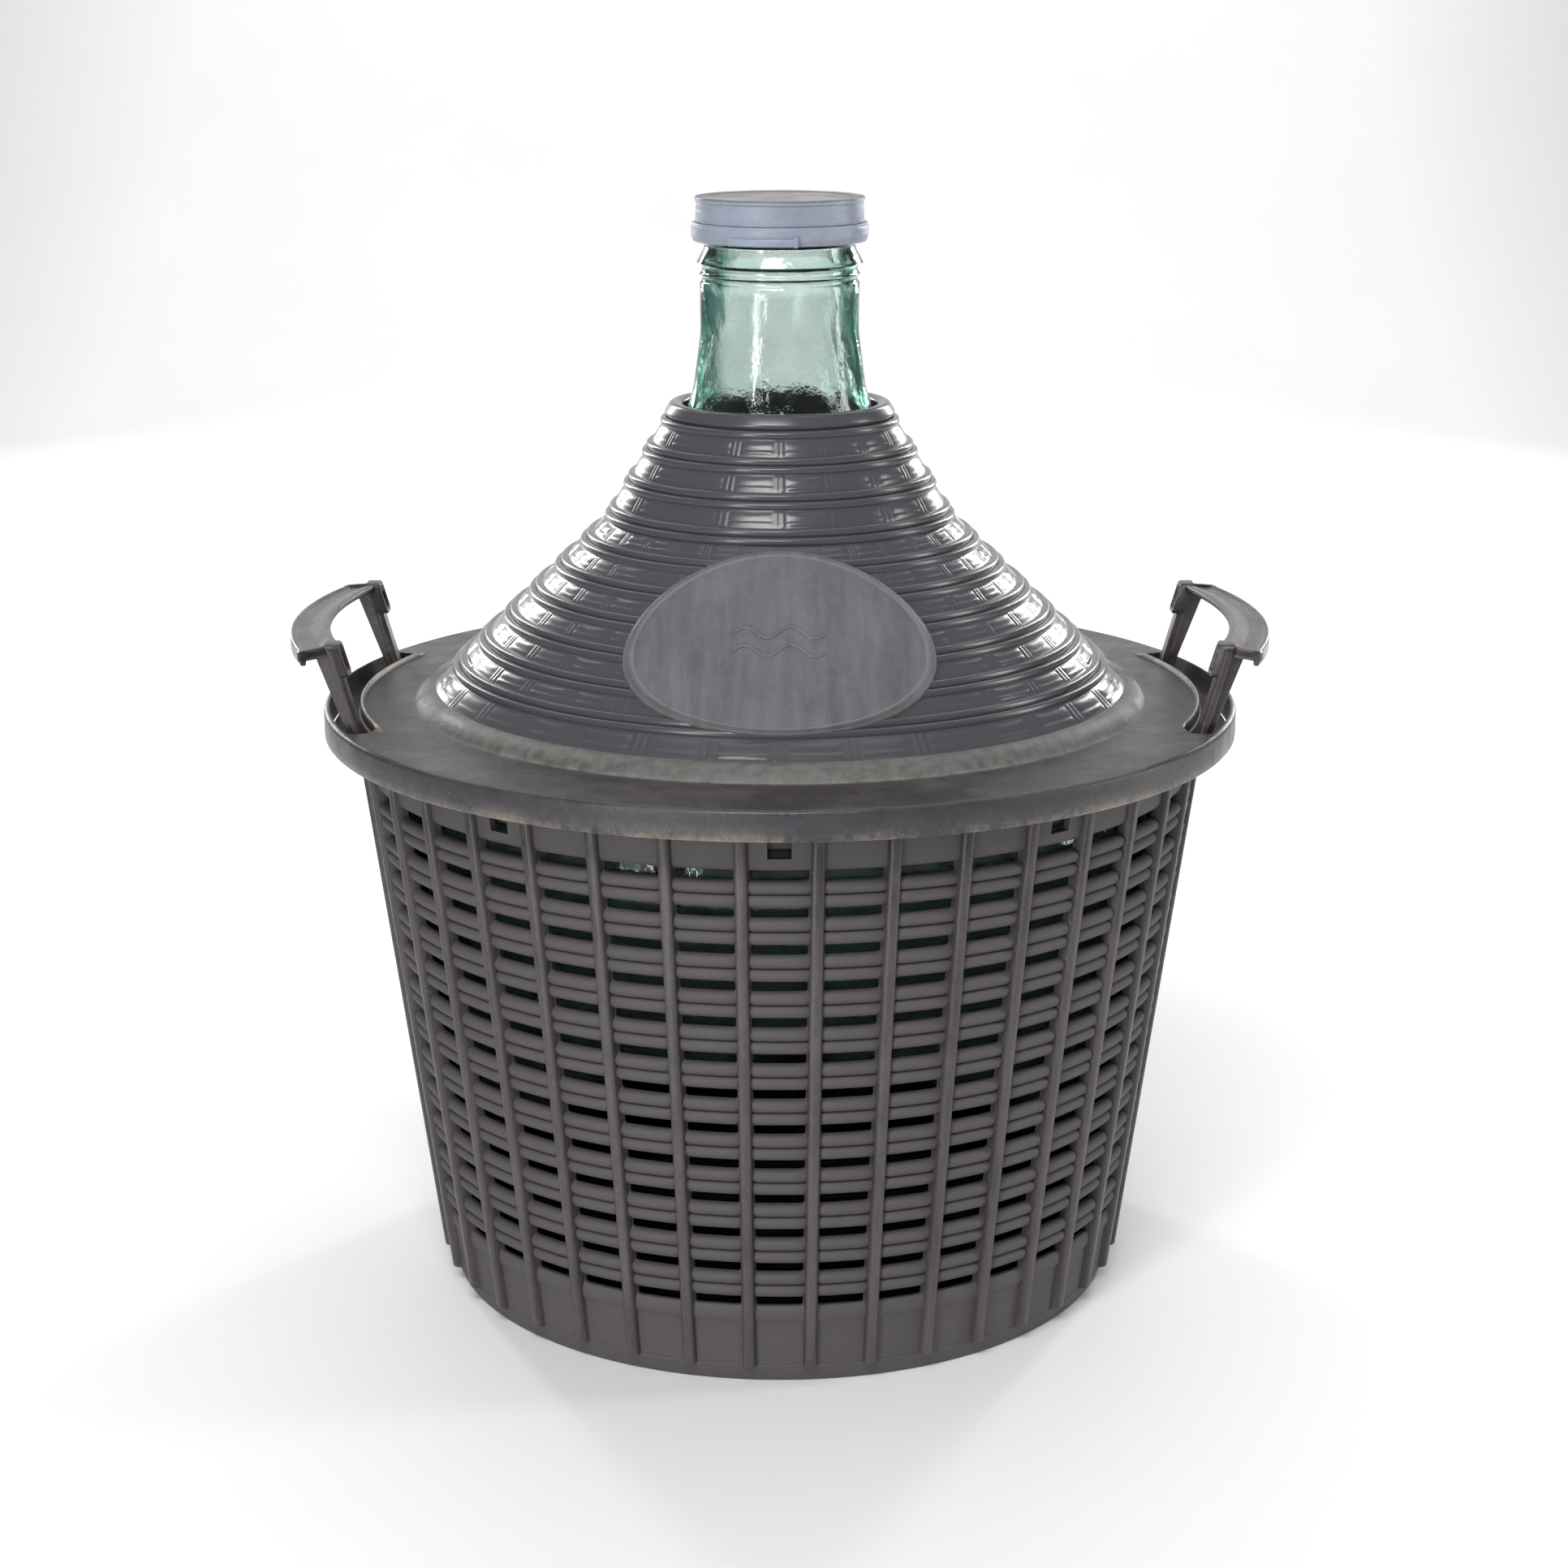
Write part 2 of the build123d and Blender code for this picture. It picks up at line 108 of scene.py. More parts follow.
# Cover
COVER_WALL = 0.0021
FLANGE_TOP = BASKET_TOP + 0.002
HOLE_R = 0.0332
CONE_TOP = np.array([HOLE_R + 0.0031, COVER_TOP])
KINK = np.array([0.0597, FLANGE_TOP + 0.0622])
CONE_FOOT = np.array([WALL_R_RIM - 0.0267, FLANGE_TOP + 0.005])
FLANGE_START = np.array([CONE_FOOT[0] + 0.0071, FLANGE_TOP])
SKIRT_LOW = FLANGE_TOP - 0.01
SKIRT_WALL = 0.0019
SLOT_IN = WALL_R_RIM - 0.0006
SLOT_HALF = math.radians(24.2)
LIP_PROUD = 0.0016
BEAD_WIDTH = 0.0031
TOP_RING = 0.0048
FOOT_BAND = 0.0086
PANEL_SLANT = 0.0383
PANEL_RIM = 0.0009
TONGUE_LONG = 0.015
TONGUE_HALF = 0.0045
TONGUE_THICK = 0.0016
TONGUE_GAP = 0.0004

# Wickerwork on the cones
CORD_HEIGHT = 0.00025
CORD_PLACE = 0.0009
CORD_WIDTH = 0.00055
GROOVE_DEPTH = 0.0003
PLATE_EDGE = (0.0022, 0.0030)

# Bottle
SIDE_GAP = 0.005
BORE_R = 0.0226
NECK_R = 0.027
NECK_R_LOW = 0.030
BEAD_Z = COVER_TOP + 0.0459
LOWER_RING_Z = COVER_TOP + 0.0424
MOUTH_R = 0.0269
COLLAR_R = 0.0256
COLLAR_Z = COVER_TOP + 0.0525


# Colours that go with the light more than with the piece
GLASS_CLEAR = (0.90, 0.91, 0.90, 1.0)
# Painted shade: the glass's colour where it is seen edge on
GLASS_PAINTED_EDGE_SHADE = (0.03, 0.17, 0.14, 1.0)
# Painted shade: the glass's colour inside the basket and cover, for their shadow
GLASS_PAINTED_SHADE = (0.27, 0.315, 0.30, 1.0)
SCUFF = (0.75, 0.77, 0.82, 1.0)
FLOOR_TONES = (0.84, 0.84, 0.84, 1.0), (0.90, 0.90, 0.90, 1.0)
# Painted shade: the floor's colour far out to each side, for dim surroundings
FLOOR_PAINTED_SHADE = (0.36, 0.36, 0.36, 1.0)

# Lights: name, place, what each faces, width and height, watts
MIDDLE = (0.0, 0.0, 0.22)
LIGHTS = (
    ("left rim", (-1.00, 1.55, 0.70), MIDDLE, (0.16, 0.9), 11.0),
    ("right rim", (1.00, 1.55, 0.70), MIDDLE, (0.16, 0.9), 11.0),
    ("left strip", (-0.95, -1.7, 0.50), MIDDLE, (0.22, 1.0), 13.0),
    ("right strip", (1.7, 0.05, 0.6), MIDDLE, (0.25, 1.2), 10.0),
    ("front top", (-0.3, -1.5, 1.75), MIDDLE, (1.1, 0.5), 28.0),
    ("top box", (0.0, 0.1, 2.2), MIDDLE, (1.6, 1.2), 7.0),
    ("back wash", (0.0, 1.3, 2.0), (0.0, 2.7, 0.0), (3.0, 0.8), 34.0),
)
AIR_STRENGTH = 0.24


# ------------------------------------------------------------------ sizes and colours


def length(name, text, default):
    """A length property in metres."""
    return bpy.props.FloatProperty(
        name=name, description=text, default=default, unit="LENGTH", precision=5
    )


def colour(name, text, default):
    """A colour property without alpha."""
    return bpy.props.FloatVectorProperty(
        name=name, description=text, default=default, subtype="COLOR", size=3, min=0, max=1
    )


class BasketSizes(bpy.types.PropertyGroup):
    wall: length("Wall", "Thickness of the tapered wall", 0.0024)
    ribs: bpy.props.IntProperty(name="Ribs", description="Upright ribs round the wall", default=38)
    rib_width: length("Rib width", "Width of a rib at the wall", 0.0046)
    rib_proud: length("Rib height", "How far a rib stands off the wall", 0.0023)
    strip: length("Strip", "Solid wall between two slots of a row", 0.0050)
    slot: length("Slot", "Height of a slot", 0.0036)
    bead: length("Bead", "Height of the round beads on the slats", 0.0025)
    sunk: length("Groove", "Depth of the grooves beside the beads", 0.0010)
    tint: colour("Plastic", "Colour of the basket", (0.058, 0.050, 0.053))


class CoverSizes(bpy.types.PropertyGroup):
    upper_rings: bpy.props.IntProperty(
        name="Upper rings", description="Woven bands on the steep cone", default=3
    )
    lower_rings: bpy.props.IntProperty(
        name="Lower rings", description="Woven bands with beads on the wide cone", default=6
    )
    upper_uprights: bpy.props.IntProperty(
        name="Upper uprights", description="Uprights round the steep cone", default=18
    )
    lower_uprights: bpy.props.IntProperty(
        name="Lower uprights", description="Uprights round the wide cone", default=32
    )
    bead: length("Bead", "Height of the round beads", 0.0013)
    plate: length("Plate", "Height of the flat plates between two uprights", 0.0003)
    panel_half_width: length("Panel half width", "Half the oval panel's width", 0.0505)
    panel_half_height: length("Panel half height", "Half the oval panel's height", 0.0355)
    panel_proud: length("Panel height", "How far the panel stands off the cone", 0.0019)
    tint: colour("Plastic", "Colour of the cone", (0.0245, 0.025, 0.0285))
    flange_tint: colour("Flange", "Colour of the flange", (0.027, 0.0225, 0.021))
    skirt_tint: colour("Skirt", "Colour of the flange's skirt", (0.038, 0.040, 0.046))
    panel_tint: colour("Panel", "Colour of the oval panel", (0.093, 0.097, 0.108))
    dust: colour("Dust", "Colour of settled dust", (0.225, 0.218, 0.205))


class BottleSizes(bpy.types.PropertyGroup):
    wall: length("Wall", "Thickness of the glass", 0.0036)
    ripple: length("Ripple", "Unevenness of the glass", 0.00034)
    tint: colour("Glass", "Colour of light that has crossed the glass", (0.50, 0.69, 0.625))
    depth: bpy.props.FloatProperty(
        name="Depth of colour", description="Absorption per metre of glass", default=150.0
    )


class CapSizes(bpy.types.PropertyGroup):
    skirt_wall: length("Skirt wall", "Thickness of the cap's skirt", 0.0015)
    strip_wall: length("Strip wall", "Thickness of the tear strip", 0.0022)
    tab_length: length("Tab length", "Length of the pull tab", 0.023)
    tab_height: length("Tab height", "Height of the pull tab", 0.0026)
    tint: colour("Plastic", "Colour of the cap", (0.265, 0.300, 0.370))
    top_tint: colour("Disc", "Colour of the cap's disc", (0.120, 0.108, 0.113))


class HandleSizes(bpy.types.PropertyGroup):
    plate: length("Plate", "Thickness of the grip", 0.0025)
    rim_drop: length("Rim", "How far the grip's outer rim turns down", 0.0046)
    leg_width: length("Leg width", "Width of a leg's strap", 0.008)
    leg_thick: length("Leg", "Thickness of a leg's strap and web", 0.0026)
    end_lip: length("End lip", "Thickness of the lip at each end of the grip", 0.0022)
    tint: colour("Plastic", "Colour of the handles", (0.036, 0.030, 0.030))


class StageSizes(bpy.types.PropertyGroup):
    camera_distance: length("Camera distance", "From the axis, towards -Y", 1.0305)
    camera_height: length("Camera height", "Above the floor", 0.4465)
    camera_side: length("Camera offset", "To the right of the axis", 0.0014)
    pitch: bpy.props.FloatProperty(
        name="Pitch", description="Camera's downward tilt", default=0.26, subtype="ANGLE"
    )
    focal: bpy.props.FloatProperty(
        name="Focal length", description="Millimetres on a 36 mm sensor", default=69.41
    )


# ------------------------------------------------------------------ outlines


def wall_r(z):
    """Outside radius of the basket's tapered wall at height z."""
    return WALL_R_FOOT + (WALL_R_RIM - WALL_R_FOOT) * z / BASKET_TOP


def rounded(corners, radii, steps=5, closed=True):
    """An outline with arcs for corners.

    Each arc has its own radius and touches both sides of its corner; where the sides are too
    short for that radius it shrinks to fit.
    """
    points = np.asarray(corners, float)
    radii = np.broadcast_to(radii, len(points))
    out = []
    for i, (point, radius) in enumerate(zip(points, radii)):
        ends = not closed and i in (0, len(points) - 1)
        a = points[i - 1] - point
        b = points[(i + 1) % len(points)] - point
        long_a, long_b = np.hypot(*a), np.hypot(*b)
        a, b = a / long_a, b / long_b
        middle = a + b
        if ends or radius <= 0 or np.hypot(*middle) < 1e-4:
            out.append(point[None])
            continue
        half = math.acos(np.clip(a @ b, -1, 1)) / 2
        reach = min(radius / math.tan(half), 0.49 * long_a, 0.49 * long_b)
        centre = point + middle / np.hypot(*middle) * reach / math.cos(half)
        start, end = point + a * reach - centre, point + b * reach - centre
        turn = math.atan2(start[0] * end[1] - start[1] * end[0], start @ end)
        angles = np.linspace(0, turn, steps + 1)[:, None]
        out.append(centre + start * np.cos(angles) + start[::-1] * (-1, 1) * np.sin(angles))
    return np.vstack(out)


def spaced(path, step, closed=False):
    """The same path with no two neighbours further apart than step."""
    nxt = np.roll(path, -1, axis=0) if closed else path[1:]
    out = []
    for a, b in zip(path, nxt):
        count = max(1, math.ceil(np.hypot(*(b - a)) / step))
        out.append(a + (b - a) * np.linspace(0, 1, count, endpoint=False)[:, None])
    if not closed:
        out.append(path[-1:])
    return np.vstack(out)


def arc(start, through, end, steps):
    """Points on the circle through three points, from the first to the last."""
    a, b, c = (np.asarray(p, float) for p in (start, through, end))
    u, v = b - a, c - a
    cross = u[0] * v[1] - u[1] * v[0]
    centre = a + np.array([v[1] * (u @ u) - u[1] * (v @ v), u[0] * (v @ v) - v[0] * (u @ u)]) / (
        2 * cross
    )
    low = math.atan2(*(a - centre)[::-1])
    turn = math.atan2(*(c - centre)[::-1]) - low
    turn -= TAU * round(turn / TAU)
    angles = low + np.linspace(0, turn, steps + 1)
    return centre + np.hypot(*(a - centre)) * np.stack([np.cos(angles), np.sin(angles)], -1)


def smooth_step(x, low, high):
    """0 below low, 1 above high, and a cubic with level ends between them."""
    t = np.clip((x - low) / (high - low), 0, 1)
    return t * t * (3 - 2 * t)


def unit(vector):
    """The vector at length one."""
    return vector / np.hypot(*vector)


def outward_of(start, end):
    """The unit normal on the outer side of a falling line drawn as radius and height."""
    run = unit(end - start)
    return np.array([-run[1], run[0]])


# ------------------------------------------------------------------ meshes


def turned(outline, angles):
    """Points of an outline carried round Z: x = r cos a, y = r sin a, z = height."""
    r = outline[:, 0][:, None]
    z = outline[:, 1][:, None] + 0 * angles
    return np.stack([r * np.cos(angles), r * np.sin(angles), z], -1)


def polar(r, angles, z):
    """Points from arrays of radius, angle and height of one shape."""
    return np.stack([r * np.cos(angles), r * np.sin(angles), z + 0 * r * angles], -1)


def grid_faces(rows, columns, wrap_rows, wrap_columns):
    """Quads between neighbours of a grid whose rows or columns may close on themselves."""
    index = np.arange(rows * columns).reshape(rows, columns)
    if wrap_rows:
        index = np.vstack([index, index[:1]])
    if wrap_columns:
        index = np.hstack([index, index[:, :1]])
    quads = [index[:-1, :-1], index[:-1, 1:], index[1:, 1:], index[1:, :-1]]
    return np.stack(quads, -1).reshape(-1, 4)


def closed_grid(points, wrap_rows=True, wrap_columns=True, caps=False, **marks):
    """A grid of points as a closed part; caps closes the first and last column of a loop."""
    rows, columns = points.shape[:2]
    faces = grid_faces(rows, columns, wrap_rows, wrap_columns).tolist()
    if caps:
        index = np.arange(rows * columns).reshape(rows, columns)
        faces += [index[:, 0].tolist(), index[::-1, -1].tolist()]
    flat = {name: np.broadcast_to(mark, (rows, columns)).ravel() for name, mark in marks.items()}
    return points.reshape(-1, 3), faces, flat


def ring(outline, columns, **marks):
    """A closed outline turned all the way round Z."""
    return closed_grid(turned(outline, np.arange(columns) * TAU / columns), **marks)


def sector(outline, start, end, columns, **marks):
    """A closed outline turned about Z from one angle to another, with flat ends."""
    angles = np.linspace(start, end, columns)
    return closed_grid(turned(outline, angles), wrap_columns=False, caps=True, **marks)


def walled(outer, inner, keep, **marks):
    """A wall between two grids that close round Z, open wherever keep is false.

    Row and column lines of the two grids match. Each cell that is kept gives an outer and an
    inner face, and each grid line between a kept and an open cell gives a face through the wall.
    """
    rows, columns = outer.shape[:2]
    out = np.arange(rows * columns).reshape(rows, columns)
    out = np.hstack([out, out[:, :1]])
    inn = out + rows * columns
    faces = []
    for index, order in ((out, (0, 1, 2, 3)), (inn, (3, 2, 1, 0))):
        cell = [index[:-1, :-1], index[:-1, 1:], index[1:, 1:], index[1:, :-1]]
        faces.append(np.stack([cell[i][keep] for i in order], -1))
    none = np.zeros((1, columns), bool)
    above, below = np.vstack([none, keep]), np.vstack([keep, none])
    lines = [(out[:, :-1], out[:, 1:], inn[:, :-1], inn[:, 1:])]
    picks = [(below & ~above, above & ~below)]
    left = np.roll(keep, 1, axis=1)
    lines.append((out[1:, :-1], out[:-1, :-1], inn[1:, :-1], inn[:-1, :-1]))
    picks.append((keep & ~left, left & ~keep))
    for (a, b, a_in, b_in), (one, other) in zip(lines, picks):
        faces.append(np.stack([b[one], a[one], a_in[one], b_in[one]], -1))
        faces.append(np.stack([a[other], b[other], b_in[other], a_in[other]], -1))
    faces = np.vstack(faces)
    used, renumbered = np.unique(faces, return_inverse=True)
    points = np.vstack([outer.reshape(-1, 3), inner.reshape(-1, 3)])[used]
    flat = {}
    for name, mark in marks.items():
        both = np.concatenate([np.broadcast_to(mark, (rows, columns)).ravel()] * 2)
        flat[name] = both[used]
    return points, renumbered.reshape(faces.shape).tolist(), flat


def spun(part, angle):
    """The part turned about Z."""
    points, faces, marks = part
    c, s = math.cos(angle), math.sin(angle)
    return points @ np.array([[c, s, 0], [-s, c, 0], [0, 0, 1]]), faces, marks


def volume_of(points, faces):
    """Six times the volume inside the faces, negative when they point inwards."""
    total = 0.0
    for size in sorted(set(map(len, faces))):
        group = np.array([face for face in faces if len(face) == size])
        for k in range(1, size - 1):
            a, b, c = points[group[:, 0]], points[group[:, k]], points[group[:, k + 1]]
            total += np.einsum("ij,ij->", a, np.cross(b, c))
    return total


def add_piece(name, parts, material, body, stands_for=None, crease=40):
    """One mesh object from closed parts, each turned the right way out.

    Points that coincide, as on the axis, are merged, edges left without a face there are
    removed, and edges sharper than crease degrees stay sharp under smooth shading.
    """
    points, faces, start = [], [], 0
    names = sorted({mark for part in parts for mark in part[2]})
    marks = {mark: [] for mark in names}
    for part_points, part_faces, part_marks in parts:
        if volume_of(part_points, part_faces) < 0:
            part_faces = [face[::-1] for face in part_faces]
        points.append(part_points)
        faces += [[i + start for i in face] for face in part_faces]
        start += len(part_points)
        for mark in names:
            marks[mark].append(part_marks.get(mark, np.zeros(len(part_points))))
    mesh = bpy.data.meshes.new(name)
    mesh.from_pydata(np.vstack(points).tolist(), [], faces)
    for mark in names:
        layer = mesh.attributes.new(mark, "FLOAT", "POINT")
        layer.data.foreach_set("value", np.concatenate(marks[mark]).astype(np.float32))
    merged = bmesh.new()
    merged.from_mesh(mesh)
    bmesh.ops.remove_doubles(merged, verts=merged.verts, dist=1e-6)
    loose = [edge for edge in merged.edges if not edge.link_faces]
    bmesh.ops.delete(merged, geom=loose, context="EDGES")
    merged.to_mesh(mesh)
    merged.free()
    mesh.validate()
    mesh.shade_smooth()
    mesh.set_sharp_from_angle(angle=math.radians(crease))
    mesh.materials.append(material)
    piece = bpy.data.objects.new(name, mesh)
    bpy.context.scene.collection.objects.link(piece)
    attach(piece, body)
    if stands_for:
        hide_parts(stands_for)
    return piece


# ------------------------------------------------------------------ shader helpers


class Graph:
    """Short calls for adding nodes to a tree and joining them."""

    def __init__(self, tree):
        self.tree = tree

    def add(self, kind, output=0, inputs=None, **settings):
        """A node of a kind, with settings, whose inputs are values or other nodes' outputs."""
        node = self.tree.nodes.new(kind)
        for name, value in settings.items():
            setattr(node, name, value)
        for name, value in (inputs or {}).items():
            if isinstance(value, bpy.types.NodeSocket):
                self.tree.links.new(value, node.inputs[name])
            else:
                node.inputs[name].default_value = value
        return node.outputs[output]

    def math(self, operation, a, b=0.0, clamp=False):
        """A Math node of two values."""
        return self.add(
            "ShaderNodeMath", inputs={0: a, 1: b}, operation=operation, use_clamp=clamp
        )

    def mix(self, factor, a, b):
        """A colour mixed from two."""
        inputs = {0: factor, 6: a, 7: b}
        return self.add("ShaderNodeMix", 2, inputs, data_type="RGBA")

    def spread(self, value, low, high, to_low=0.0, to_high=1.0):
        """A value carried from one range to another, held at its ends."""
        inputs = {0: value, 1: low, 2: high, 3: to_low, 4: to_high}
        return self.add("ShaderNodeMapRange", inputs=inputs)

    def noise(self, vector, scale, detail=3.0, rough=0.55):
        """A noise value at a scale per metre."""
        inputs = {"Vector": vector, "Scale": scale, "Detail": detail, "Roughness": rough}
        return self.add("ShaderNodeTexNoise", 0, inputs)

    def stretched(self, vector, scale):
        """Coordinates scaled apart along their three axes."""
        return self.add("ShaderNodeVectorMath", inputs={0: vector, 1: scale}, operation="MULTIPLY")

    def mark(self, name):
        """A value kept on the mesh's points."""
        return self.add("ShaderNodeAttribute", 2, attribute_name=name)


def shader_group(name, inputs, outputs, build):
    """A shared effect: a node group with named inputs and outputs, filled in by build."""
    tree = bpy.data.node_groups.new(name, "ShaderNodeTree")
    for label, kind, default in inputs:
        socket = tree.interface.new_socket(label, in_out="INPUT", socket_type=kind)
        if default is not None:
            socket.default_value = default
    for label, kind in outputs:
        tree.interface.new_socket(label, in_out="OUTPUT", socket_type=kind)
    graph = Graph(tree)
    source = tree.nodes.new("NodeGroupInput")
    sink = tree.nodes.new("NodeGroupOutput")
    results = build(graph, {socket.name: socket for socket in source.outputs if socket.name})
    for label, value in results.items():
        tree.links.new(value, sink.inputs[label])
    return tree


VECTOR, VALUE = "NodeSocketVector", "NodeSocketFloat"


def grain_group():
    """Moulded grain: fine pits over a slow waviness, as a height and a tone."""

    def build(graph, at):
        fine = graph.noise(at["Vector"], at["Scale"], 4.0, 0.6)
        wide = graph.noise(at["Vector"], graph.math("MULTIPLY", at["Scale"], 0.08), 3.0)
        height = graph.math("ADD", graph.math("MULTIPLY", fine, 0.4), wide)
        slow = graph.noise(at["Vector"], 22.0, 6.0, 0.72)
        quick = graph.noise(at["Vector"], 420.0, 4.0, 0.7)
        tone = graph.math("ADD", slow, graph.math("MULTIPLY", quick, 0.5))
        tone = graph.spread(tone, 0.52, 0.98)
        return {"Height": height, "Tone": tone}

    inputs = [("Vector", VECTOR, None), ("Scale", VALUE, 1400.0)]
    return shader_group("Moulded grain", inputs, [("Height", VALUE), ("Tone", VALUE)], build)


def dust_group():
    """Settled dust: thick on faces that look up, patchy, with a few bright specks."""

    def build(graph, at):
        normal = graph.add("ShaderNodeTexCoord", "Normal")
        up = graph.add("ShaderNodeSeparateXYZ", "Z", {0: normal})
        level = graph.spread(up, 0.1, 0.95)
        patches = graph.spread(graph.noise(at["Vector"], at["Scale"], 6.0, 0.62), 0.42, 0.68)
        lying = graph.math("MULTIPLY", level, patches)
        lying = graph.math("MULTIPLY", lying, at["Amount"])
        held = graph.math("MULTIPLY", at["Held"], graph.noise(at["Vector"], 260.0, 3.0))
        mask = graph.math("ADD", lying, graph.math("MULTIPLY", held, 1.6), True)
        spots = graph.add(
            "ShaderNodeTexVoronoi", 0, {"Vector": at["Vector"], "Scale": 210.0, "Randomness": 1.0}
        )
        thin = graph.spread(graph.noise(at["Vector"], 90.0, 2.0), 0.5, 0.6)
        specks = graph.math("MULTIPLY", graph.spread(spots, 0.10, 0.05), thin)
        specks = graph.math("MULTIPLY", specks, at["Specks"])
        return {"Mask": graph.math("MAXIMUM", mask, specks)}

    inputs = [
        ("Vector", VECTOR, None),
        ("Scale", VALUE, 55.0),
        ("Amount", VALUE, 0.5),
        ("Held", VALUE, 0.0),
        ("Specks", VALUE, 0.5),
    ]
    return shader_group("Settled dust", inputs, [("Mask", VALUE)], build)


def streak_group():
    """Streaks: noise drawn out along one way, as a tone and as thin scratches."""

    def build(graph, at):
        along = graph.add(
            "ShaderNodeVectorMath", inputs={0: at["Vector"], 1: at["Way"]}, operation="MULTIPLY"
        )
        tone = graph.spread(graph.noise(along, 1.0, 5.0, 0.65), 0.35, 0.65)
        warp = graph.add("ShaderNodeTexNoise", 1, {"Vector": at["Vector"], "Scale": 30.0})
        bent = graph.add(
            "ShaderNodeVectorMath",
            inputs={0: warp, 1: (0.012, 0.012, 0.012), 2: at["Vector"]},
            operation="MULTIPLY_ADD",
        )
        cells = graph.add(
            "ShaderNodeTexVoronoi", 0, {"Vector": bent, "Scale": 75.0}, feature="DISTANCE_TO_EDGE"
        )
        thin = graph.spread(cells, 0.008, 0.0)
        where = graph.spread(graph.noise(at["Vector"], 40.0, 2.0), 0.56, 0.66)
        return {"Tone": tone, "Scratch": graph.math("MULTIPLY", thin, where)}

    inputs = [("Vector", VECTOR, None), ("Way", VECTOR, (20.0, 20.0, 500.0))]
    return shader_group("Streaks", inputs, [("Tone", VALUE), ("Scratch", VALUE)], build)


EFFECTS = {"Moulded grain": grain_group, "Settled dust": dust_group, "Streaks": streak_group}


def use_group(graph, name, inputs):
    """A shared effect, built the first time, placed in a material: its outputs by name."""
    node = graph.tree.nodes.new("ShaderNodeGroup")
    node.node_tree = bpy.data.node_groups.get(name) or EFFECTS[name]()
    for label, value in inputs.items():
        if isinstance(value, bpy.types.NodeSocket):
            graph.tree.links.new(value, node.inputs[label])
        else:
            node.inputs[label].default_value = value
    return {socket.name: socket for socket in node.outputs}


def new_material(name):
    """A material with only a Principled shader and its output."""
    material = bpy.data.materials.new(name)
    material.use_nodes = True
    shader = material.node_tree.nodes["Principled BSDF"]
    return material, Graph(material.node_tree), shader


def with_alpha(rgb):
    """A colour with full alpha."""
    return (*rgb, 1.0)


def plastic(name, tint, dust_tint, look):
    """Moulded charcoal plastic: grain, streaks, scratches, and dust on what looks up.

    look holds the roughness, the streaks' way, the grain's bump, and how much dust lies about.
    """
    material, graph, shader = new_material(name)
    at = graph.add("ShaderNodeTexCoord", "Object")
    grain = use_group(graph, "Moulded grain", {"Vector": at, "Scale": look["grain"]})
    streaks = use_group(graph, "Streaks", {"Vector": at, "Way": look["way"]})
    dust = use_group(
        graph,
        "Settled dust",
        {
            "Vector": at,
            "Scale": look["patch"],
            "Amount": look["dust"],
            "Specks": look["specks"],
            "Held": graph.mark("held"),
        },
    )
    dark = with_alpha([c * 0.62 for c in tint])
    pale = with_alpha([c * 1.42 for c in tint])
    tone = graph.math("MULTIPLY", streaks["Tone"], 0.5)
    tone = graph.math("ADD", tone, graph.math("MULTIPLY", grain["Tone"], 0.5))
    base = graph.mix(tone, dark, pale)
    # A second colour where the mesh's mark asks, broken up by noise: a painted sheen on the tops
    # of the basket's beads, and the skirt's own bluish colour on the flange
    mottle = graph.spread(graph.noise(at, 150.0, 5.0, 0.7), 0.38, 0.62, 0.45, 1.0)
    cool = graph.math("MULTIPLY", graph.mark("cool"), mottle)
    base = graph.mix(cool, base, with_alpha(look["cool"]))
    worn = graph.math("MULTIPLY", graph.mark("worn"), graph.spread(grain["Tone"], 0.2, 0.8))
    base = graph.mix(worn, base, with_alpha(look["worn"]))
    scratch = graph.math("MULTIPLY", streaks["Scratch"], look["scratch"])
    cover = graph.math("MAXIMUM", dust["Mask"], scratch)
    base = graph.mix(cover, base, with_alpha(dust_tint))
    gloss = graph.spread(tone, 0.2, 0.8, look["rough"][0], look["rough"][1])
    rough = graph.math("ADD", gloss, graph.math("MULTIPLY", dust["Mask"], 0.35), True)
    height = graph.math("ADD", grain["Height"], graph.math("MULTIPLY", streaks["Tone"], 0.6))
    bump = graph.add(
        "ShaderNodeBump",
        inputs={"Height": height, "Strength": look["bump"], "Distance": 0.0004},
    )
    tree = graph.tree
    tree.links.new(base, shader.inputs["Base Color"])
    tree.links.new(rough, shader.inputs["Roughness"])
    tree.links.new(bump, shader.inputs["Normal"])
    shader.inputs["IOR"].default_value = 1.5
    return material


def dusty(tint, dust_tint, name, **changes):
    """Charcoal plastic from the usual look with some of its values changed, built only once."""
    if name in bpy.data.materials:
        return bpy.data.materials[name]
    look = {
        "rough": (0.34, 0.50),
        "way": (14.0, 14.0, 420.0),
        "grain": 1500.0,
        "bump": 0.35,
        "patch": 60.0,
        "dust": 0.35,
        "specks": 0.5,
        "scratch": 0.35,
        "worn": (0.36, 0.30, 0.24),
        "cool": (0.06, 0.06, 0.07),
    }
    look.update(changes)
    return plastic(name, tint, dust_tint, look)


